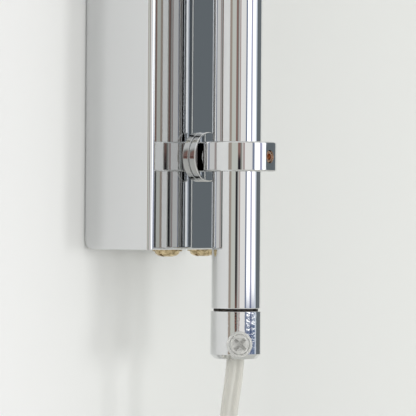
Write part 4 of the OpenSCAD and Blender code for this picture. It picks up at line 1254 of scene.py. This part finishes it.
sleeves = []
for side in (-1, 1):
    bottom, top = sleeve_low.z / MM, sleeve_high.z / MM
    sleeve = turn_piece([(2.05, bottom), (SLEEVE_R, bottom), (SLEEVE_R, top), (2.05, top)],
                        lamp_axis + Vector((side * harp_foot * MM, 0, 0)), 64)
    ease_edges(sleeve, 0.2 * MM)
    settle(sleeve)
    sleeves.append(sleeve)
finish_piece(join_pieces(sleeves[0], sleeves[1:]), "harp_sleeves", "outer_arm", "nickel", nickel,
             "harp_ferrules")

# %% Switch key
knob_plan = []
for i in range(12):
    for r, turn in ((5.5, 0.0), (5.45, 0.3), (4.85, 0.42), (4.7, 0.5), (4.85, 0.58), (5.45, 0.7)):
        a = math.tau * (i + turn) / 12
        knob_plan.append((r * math.cos(a), r * math.sin(a)))
knob_from = (lamp_axis.y - key_low.y) / MM - 9
knob = pull_up(knob_plan, knob_from, knob_from + 9)
ease_edges(knob, 0.4 * MM, 3, 50)
shaft = turn_piece([(0, 7), (1.5, 7), (1.5, knob_from + 0.5), (0, knob_from + 0.5)], steps=48)
key = join_pieces(knob, [shaft])
face_along(key, OUTWARDS)
key.location = key_line
finish_piece(key, "phenolic_switch_key", "switch", "phenolic", phenolic, "switch_key")

# %% [markdown]
# ## The shade
# The shade is linen laminated to a stiff white lining, rolled into a cone and closed by a lapped
# seam at the back. A folded tape binds each rim over a wire ring. A cone unrolls into a flat
# sector, so the UV map is that sector in centimetres: the threads run straight across the cloth
# as it was cut, and slant where the cone turns.

# %% Places on the shade
shade_low, shade_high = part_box("shade_skin")
shade_z, shade_top = shade_low.z / MM, shade_high.z / MM
SHADE_R = (shade_high.x - shade_low.x) / 2 / MM
TOP_R = SHADE_R - 60
SHADE_T = 0.8
slant = math.hypot(SHADE_R - TOP_R, shade_top - shade_z)
narrowing = (SHADE_R - TOP_R) / slant


def cone_radius(z):
    """The shade's outer radius at a height, in millimetres."""
    return SHADE_R + (TOP_R - SHADE_R) * (z - shade_z) / (shade_top - shade_z)


def unroll(piece):
    """Gives a piece on the cone a UV map that is the flat cloth, in centimetres."""
    layer = piece.data.uv_layers.new(name="UVMap")
    for face in piece.data.polygons:
        middle_x = face.center.x - lamp_axis.x
        for loop in face.loop_indices:
            at = piece.data.vertices[piece.data.loops[loop].vertex_index].co - lamp_axis
            turn = math.atan2(at.x, -at.y)
            if abs(turn) > 3 and turn * middle_x < 0:
                turn -= math.copysign(math.tau, turn)
            from_tip = math.hypot(at.x, at.y) / narrowing
            layer.data[loop].uv = (from_tip * math.sin(turn * narrowing) * 100,
                                   from_tip * math.cos(turn * narrowing) * 100)

# %% [markdown]
# **Linen.** A plain weave of uneven flax threads in a warm off-white. The real threads are about
# half a millimetre apart, and they are drawn at 1.6 mm so that the weave shows from a room's
# distance. Slubs, the thick places in the yarn, run along the threads for some centimetres.

# %% Linen and lining
def make_linen(name, light, mid, dark):
    """Flax cloth from two crossed waves and two stretched noises on the flat cloth's UV map."""
    cloth = start_material(name, light, Roughness=0.9, Sheen_Weight=0.25)
    tree = cloth.node_tree
    uv = add_node(tree, "ShaderNodeUVMap", uv_map="UVMap").outputs["UV"]
    heights = []
    slubs = []
    for direction, stretch in (("X", (5.0, 0.35, 1)), ("Y", (0.35, 5.0, 1))):
        wave = add_node(tree, "ShaderNodeTexWave", {"Vector": uv, "Scale": math.tau / 20 / 0.16,
                                                    "Distortion": 0.8, "Detail": 1.0,
                                                    "Detail Scale": 2.0}, bands_direction=direction)
        heights.append(wave.outputs["Fac"])
        long_way = add_node(tree, "ShaderNodeMapping", {"Vector": uv, "Scale": stretch})
        slub = add_node(tree, "ShaderNodeTexNoise", {"Vector": long_way.outputs["Vector"],
                                                     "Scale": 1.0, "Detail": 4.0})
        slubs.append(slub.outputs["Fac"])
    weave = add_node(tree, "ShaderNodeMath", {0: heights[0], 1: heights[1]}, operation="MULTIPLY")
    slub_sum = add_node(tree, "ShaderNodeMath", {0: slubs[0], 1: slubs[1]}, operation="ADD")
    fac = add_node(tree, "ShaderNodeMath", {0: slub_sum.outputs["Value"], 1: 0.5,
                                            2: weave.outputs["Value"]}, operation="MULTIPLY_ADD")
    tint = add_node(tree, "ShaderNodeValToRGB", {"Fac": fac.outputs["Value"]},
                    [(0.30, dark), (0.55, mid), (0.95, light)])
    bump = add_node(tree, "ShaderNodeBump", {"Height": fac.outputs["Value"], "Strength": 0.8,
                                            "Distance": 0.25 * MM})
    feed_shader(cloth, Base_Color=tint.outputs["Color"], Normal=bump.outputs["Normal"])
    return cloth


linen = make_linen("off-white linen", "F3EEE2", "E9E2D2", "D8CEB9")
tape_linen = make_linen("linen binding tape", "EFE9DB", "E4DCCA", "D0C5AF")
lining = make_moulded("white styrene lining", "F4F3EF", "ECEAE4", 2.0, 0.55, 0.01)

# %% Shade cloth
skin = turn_piece([(SHADE_R - SHADE_T, shade_z), (SHADE_R, shade_z), (TOP_R, shade_top),
                   (TOP_R - SHADE_T, shade_top)], lamp_axis, 256)
finish_piece(skin, "linen_shade", "outer_arm", "linen", linen, "shade_skin", weighted=False)
skin.data.materials.append(lining)
for face in skin.data.polygons:
    outward_way = face.center - lamp_axis
    if face.normal.dot(Vector((outward_way.x, outward_way.y, 0))) < 0:
        face.material_index = 1
unroll(skin)

# %% Binding tapes and seam
TAPE_WIDE = 12
TAPE_T = 0.4


def make_tape(name, rim_z, way_in):
    """A folded tape round a rim: a narrow hem outside, over the edge, and inside."""
    deep = rim_z + way_in * TAPE_WIDE
    out_rim, out_deep = cone_radius(rim_z) + TAPE_T, cone_radius(deep) + TAPE_T
    in_rim, in_deep = cone_radius(rim_z) - SHADE_T - TAPE_T, cone_radius(deep) - SHADE_T - TAPE_T
    over = rim_z - way_in * TAPE_T
    outline = [(out_deep, deep), (out_rim, over), (in_rim, over), (in_deep, deep),
               (in_deep + TAPE_T - 0.05, deep), (in_rim + TAPE_T - 0.05, rim_z),
               (out_rim - TAPE_T + 0.05, rim_z), (out_deep - TAPE_T + 0.05, deep)]
    tape = turn_piece(outline, lamp_axis, 256)
    ease_edges(tape, 0.15 * MM, 2, 60)
    finish_piece(tape, name, "outer_arm", "linen", tape_linen, weighted=False)
    unroll(tape)
    return tape


bottom_tape = make_tape("bottom_binding_tape", shade_z + TAPE_T, 1)
top_tape = make_tape("top_binding_tape", shade_top - TAPE_T, -1)

SEAM_HALF = 5
seam_points = []
seam_rows = 30
seam_columns = 6
for i in range(seam_rows + 1):
    z = shade_z + TAPE_WIDE - 2 + (shade_top - shade_z - 2 * TAPE_WIDE + 4) * i / seam_rows
    radius = cone_radius(z) + 0.05
    for k in range(seam_columns + 1):
        across = SEAM_HALF * (2 * k / seam_columns - 1) / radius
        seam_points.append((radius * math.sin(across), radius * math.cos(across), z))
row = seam_columns + 1
seam_faces = [(i * row + k, i * row + k + 1, (i + 1) * row + k + 1, (i + 1) * row + k)
              for i in range(seam_rows) for k in range(seam_columns)]
seam = draw_piece(seam_points, faces=seam_faces)
seam.location = lamp_axis
apply_modifier(seam, "SOLIDIFY", thickness=0.5 * MM, offset=1.0)
tidy_faces(seam)
ease_edges(seam, 0.12 * MM, 2, 50)
finish_piece(seam, "lapped_back_seam", "outer_arm", "linen", tape_linen, weighted=False)
unroll(seam)

# %% [markdown]
# The fitter is welded wire: a washer that sits on the harp, three arms, and the ring that the top
# rim is bound over. The lower rim has a ring of its own. Both are stove enamelled. The finial is a
# turned ball that screws down on the harp's stud.

# %% Wire rings and fitter
RING_WIRE = 1.25


def make_ring(z):
    """A wire ring just inside the lining at a height."""
    centre = cone_radius(z) - SHADE_T - RING_WIRE - 0.15
    return turn_piece(arc((centre, z), RING_WIRE, 0, 330, 11), lamp_axis, 160)


ring_low, ring_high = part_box("shade_bottom_ring")
bottom_ring = make_ring((ring_low.z + ring_high.z) / 2 / MM)
finish_piece(bottom_ring, "bottom_wire_ring", "outer_arm", "painted_wire", wire_paint,
             "shade_bottom_ring", smooth=50, weighted=False)
fit_low, fit_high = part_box("shade_spider")
ring_z = fit_high.z / MM - RING_WIRE
washer_z = fit_low.z / MM
WASHER_T = 1.4
washer = turn_piece([(3.2, washer_z), (10, washer_z), (10, washer_z + WASHER_T),
                     (3.2, washer_z + WASHER_T)], lamp_axis, 96)
ease_edges(washer, 0.3 * MM)
fitter_parts = [make_ring(ring_z)]
for turn in (90, 210, 330):
    way = Vector((math.cos(math.radians(turn)), math.sin(math.radians(turn)), 0))
    inner_end = lamp_axis / MM + way * 7 + Vector((0, 0, washer_z + WASHER_T / 2))
    outer_end = lamp_axis / MM + way * (cone_radius(ring_z) - SHADE_T - RING_WIRE - 0.15)
    outer_end.z = ring_z
    arm_line = [(inner_end + (outer_end - inner_end) * i / 6, turn + 90) for i in range(7)]
    fitter_parts.append(sweep(arc((0, 0), 1.0, 0, 330, 11), arm_line))
finish_piece(join_pieces(washer, fitter_parts), "shade_wire_fitter", "outer_arm", "painted_wire",
             wire_paint, "shade_spider", smooth=50, weighted=False)

# %% Finial
fin_low, fin_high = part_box("shade_finial")
fin_z, fin_top = fin_low.z / MM, fin_high.z / MM
BALL_R = 7
fin_ball = arc((0, fin_top - BALL_R), BALL_R, -52, 90, 24)[:-1]
finial = turn_piece([(3.1, fin_z), (6, fin_z), (6, fin_z + 1.6), (5.2, fin_z + 2.2),
                     (4.4, fin_z + 3.4), (4.2, fin_z + 5), (4.2, fin_z + 7.5), (5.0, fin_z + 8.2),
                     (5.0, fin_z + 9.2)] + fin_ball
                    + [(0, fin_top), (0, fin_z + 11), (3.1, fin_z + 11)], lamp_axis, 128)
ease_edges(finial, 0.15 * MM, 2, 40)
finish_piece(finial, "turned_ball_finial", "outer_arm", "chrome", chrome, "shade_finial")

# %% [markdown]
# ## Wall, floor, light
# A pale painted wall stands just behind the bracket, and a plain floor lies well below the lamp.
# The wall shows only from the front: from behind, light and view pass through it, so the back of
# the lamp can be looked at.

# %% Wall and floor
def make_paint(name, shades, see_through_back):
    """Matt emulsion with a roller's faint stipple, and painted light: shades that change from left
    to right.
    """
    paint = start_material(name, shades[0][1], Roughness=0.85)
    tree = paint.node_tree
    place = add_node(tree, "ShaderNodeTexCoord").outputs["Object"]
    stipple = add_node(tree, "ShaderNodeTexNoise", {"Vector": place, "Scale": 220.0, "Detail": 2.0})
    bump = add_node(tree, "ShaderNodeBump", {"Height": stipple.outputs["Fac"], "Strength": 0.15,
                                            "Distance": 0.1 * MM})
    split = add_node(tree, "ShaderNodeSeparateXYZ", {"Vector": place})
    across = add_node(tree, "ShaderNodeMapRange", {"Value": split.outputs["X"],
                                                   "From Min": -0.15, "From Max": 0.25})
    tint = add_node(tree, "ShaderNodeValToRGB", {"Fac": across.outputs["Result"]}, shades)
    feed_shader(paint, Base_Color=tint.outputs["Color"], Normal=bump.outputs["Normal"])
    if see_through_back:
        shader = tree.nodes["Principled BSDF"]
        back = add_node(tree, "ShaderNodeNewGeometry").outputs["Backfacing"]
        clear = add_node(tree, "ShaderNodeBsdfTransparent")
        mix = add_node(tree, "ShaderNodeMixShader", {0: back, 1: shader.outputs["BSDF"],
                                                     2: clear.outputs["BSDF"]})
        tree.links.new(mix.outputs["Shader"], tree.nodes["Material Output"].inputs["Surface"])
    return paint


WALL_BEHIND = 0.6 * MM
FLOOR_Z = -0.75
ROOM_WIDE = 9
WALL_TALL = 4.4
bpy.ops.mesh.primitive_plane_add(size=1, location=(0, WALL_BEHIND, FLOOR_Z + WALL_TALL / 2),
                                 rotation=(math.radians(90), 0, 0))
wall = bpy.context.object
wall.name = "wall_backdrop"
wall.scale = (ROOM_WIDE, WALL_TALL, 1)
settle(wall)
wall.visible_shadow = False
# Painted light: the wall is brightest at the left and darkest a little right of the box
wall_light_falloff_stops = [(0.0, "FAFAFB"), (0.2, "F8F8F9"), (0.4, "F0F1F0"), (0.58, "E4E5E4"),
               (0.75, "E9EAE9"), (1.0, "EFF0EE")]
wall.data.materials.append(make_paint("white emulsion wall", wall_light_falloff_stops, True))
bpy.ops.mesh.primitive_plane_add(size=1, location=(0, 0, FLOOR_Z))
floor = bpy.context.object
floor.name = "pale_floor"
floor.scale = (ROOM_WIDE, ROOM_WIDE, 1)
# Painted light, faint: the floor darkens a little towards the right
floor_light_falloff_stops = [(0.0, "DDDCD8"), (1.0, "DAD9D5")]
floor.data.materials.append(make_paint("pale studio floor", floor_light_falloff_stops, False))

# %% [markdown]
# **The room that the chrome mirrors.** Chrome shows nothing but its room, so the room is drawn in
# the world: bands of light and dark round the horizon. Each band is given by its direction from
# the viewer's own, in degrees, and by the shade that it has once the chrome has mirrored it.
# There are two tall windows to the right, a dark frame between them and a dark gap almost behind
# the viewer. The windows end in a blue sill below the lamp, and the dark gap is a chair back that
# ends at the clamp's height, so some bands change above or below the level line. Everything that
# isn't a mirror sees a plain pale world instead, which is the studio's soft fill.

# %% World
MIRROR = 0.72
bands = [(-180, "A8ABA4", 1), (-38, "94897F", 1), (-25, "B6B8B1", 1), (-5.5, "211F24", 1),
         (3, "7D7F7A", 1), (7, "BDBAB6", 1), (12, "947F7C", 1), (16, "DAD9D6", 1),
         (41, "757D90", 1), (49, "FFFFFF", 1.5), (67, "A6A7BF", 1), (77, "FFFFFF", 1.25),
         (97, "C2C9D3", 1), (106, "5D6367", 1), (118, "62676B", 1), (150, "8B9093", 1)]
below_level = {-5.5: ("77554C", 1), 49: ("5C6A86", 1), 67: ("46526E", 1), 77: ("5F6E8A", 1)}
above_level = {-5.5: ("7E635C", 1)}
BAND_EDGE = 0.8


def add_bands(tree, bearing, changed):
    """A ramp round the room with two stops a band, so that it is even and its edges are soft."""
    stops = []
    for i, (start, shade, gain) in enumerate(bands):
        end = bands[i + 1][0] if i + 1 < len(bands) else 180
        shade, gain = changed.get(start, (shade, gain))
        for place in (start + BAND_EDGE, end - BAND_EDGE):
            stops.append(((place + 180) / 360, shade, gain / MIRROR))
    ramp = add_node(tree, "ShaderNodeValToRGB", {"Fac": bearing},
                    [(place, shade) for place, shade, _ in stops])
    for element, (_, _, gain) in zip(ramp.color_ramp.elements, stops):
        element.color = [v * gain for v in element.color[:3]] + [1.0]
    return ramp.outputs["Color"]


def blend_by_height(tree, up, low, high, under, over):
    """Mixes from one colour to another as the view rises between two heights."""
    rise = add_node(tree, "ShaderNodeMapRange", {"Value": up, "From Min": low, "From Max": high})
    mix = add_node(tree, "ShaderNodeMix", {0: rise.outputs["Result"], 6: under, 7: over},
                   data_type="RGBA")
    return mix.outputs[2]


world = bpy.data.worlds.new("studio room")
bpy.context.scene.world = world
world.use_nodes = True
tree = world.node_tree
way = add_node(tree, "ShaderNodeTexCoord").outputs["Generated"]
turned = add_node(tree, "ShaderNodeMapping", {"Vector": way, "Rotation": (0, 0, -CAMERA_TURN)})
split = add_node(tree, "ShaderNodeSeparateXYZ", {"Vector": turned.outputs["Vector"]})
outward = add_node(tree, "ShaderNodeMath", {0: split.outputs["Y"], 1: -1.0}, operation="MULTIPLY")
bearing = add_node(tree, "ShaderNodeMath", {0: split.outputs["X"], 1: outward.outputs["Value"]},
                   operation="ARCTAN2")
round_room = add_node(tree, "ShaderNodeMapRange", {"Value": bearing.outputs["Value"],
                                                   "From Min": -math.pi, "From Max": math.pi})
around = round_room.outputs["Result"]
up = split.outputs["Z"]
middle_bands = add_bands(tree, around, {})
lower_half = blend_by_height(tree, up, -0.033, -0.022, add_bands(tree, around, below_level),
                             middle_bands)
horizon = blend_by_height(tree, up, 0.012, 0.018, lower_half, add_bands(tree, around, above_level))
height = add_node(tree, "ShaderNodeMapRange", {"Value": up, "From Min": -1.0})
floor_to_ceiling = add_node(tree, "ShaderNodeValToRGB", {"Fac": height.outputs["Result"]},
                            [(0.0, "8F8E8A"), (0.28, "A9A8A3"), (0.72, "E2E3E0"), (1.0, "F2F2F0")])
steepness = add_node(tree, "ShaderNodeMath", {0: up}, operation="ABSOLUTE")
steep = add_node(tree, "ShaderNodeMapRange", {"Value": steepness.outputs["Value"],
                                              "From Min": 0.35, "From Max": 0.6})
room = add_node(tree, "ShaderNodeMix", {0: steep.outputs["Result"], 6: horizon,
                                        7: floor_to_ceiling.outputs["Color"]}, data_type="RGBA")
rays = add_node(tree, "ShaderNodeLightPath")
mirrored = add_node(tree, "ShaderNodeBackground", {"Color": room.outputs[2]})
plain = add_node(tree, "ShaderNodeBackground", {"Color": linear("E7E8E6"), "Strength": 0.95})
mix = add_node(tree, "ShaderNodeMixShader", {0: rays.outputs["Is Glossy Ray"],
                                             1: plain.outputs["Background"],
                                             2: mirrored.outputs["Background"]})
tree.links.new(mix.outputs["Shader"], tree.nodes["World Output"].inputs["Surface"])

# %% [markdown]
# Two soft window lights stand in the room at the lamp's own height, one straight out from the
# wall and one further to the right. Each is narrow, so the post and the cord throw soft upright
# shadows, one close behind them and one to the left. Chrome doesn't mirror the lights, because
# the world's bands already hold the windows.

# %% Lights
LIGHT_AWAY = 2.6


def add_window(name, turn, width, height, power):
    """A soft light in a direction from the wall's own, in degrees, at the clamp's height."""
    way = Vector((math.sin(math.radians(turn)), -math.cos(math.radians(turn)), 0))
    place = Vector((0, 0, clamp_z)) + way * LIGHT_AWAY
    bpy.ops.object.light_add(type="AREA", location=place)
    light = bpy.context.object
    light.name = name
    light.rotation_euler = way.to_track_quat("Z", "Y").to_euler()
    light.data.shape = "RECTANGLE"
    light.data.size = width
    light.data.size_y = height
    light.data.energy = power
    light.visible_glossy = False
    return light


add_window("window_ahead", 0, 0.5, 0.6, 8)
add_window("window_right", 21, 0.5, 0.6, 9.5)
bpy.context.scene.view_settings.view_transform = "Standard"
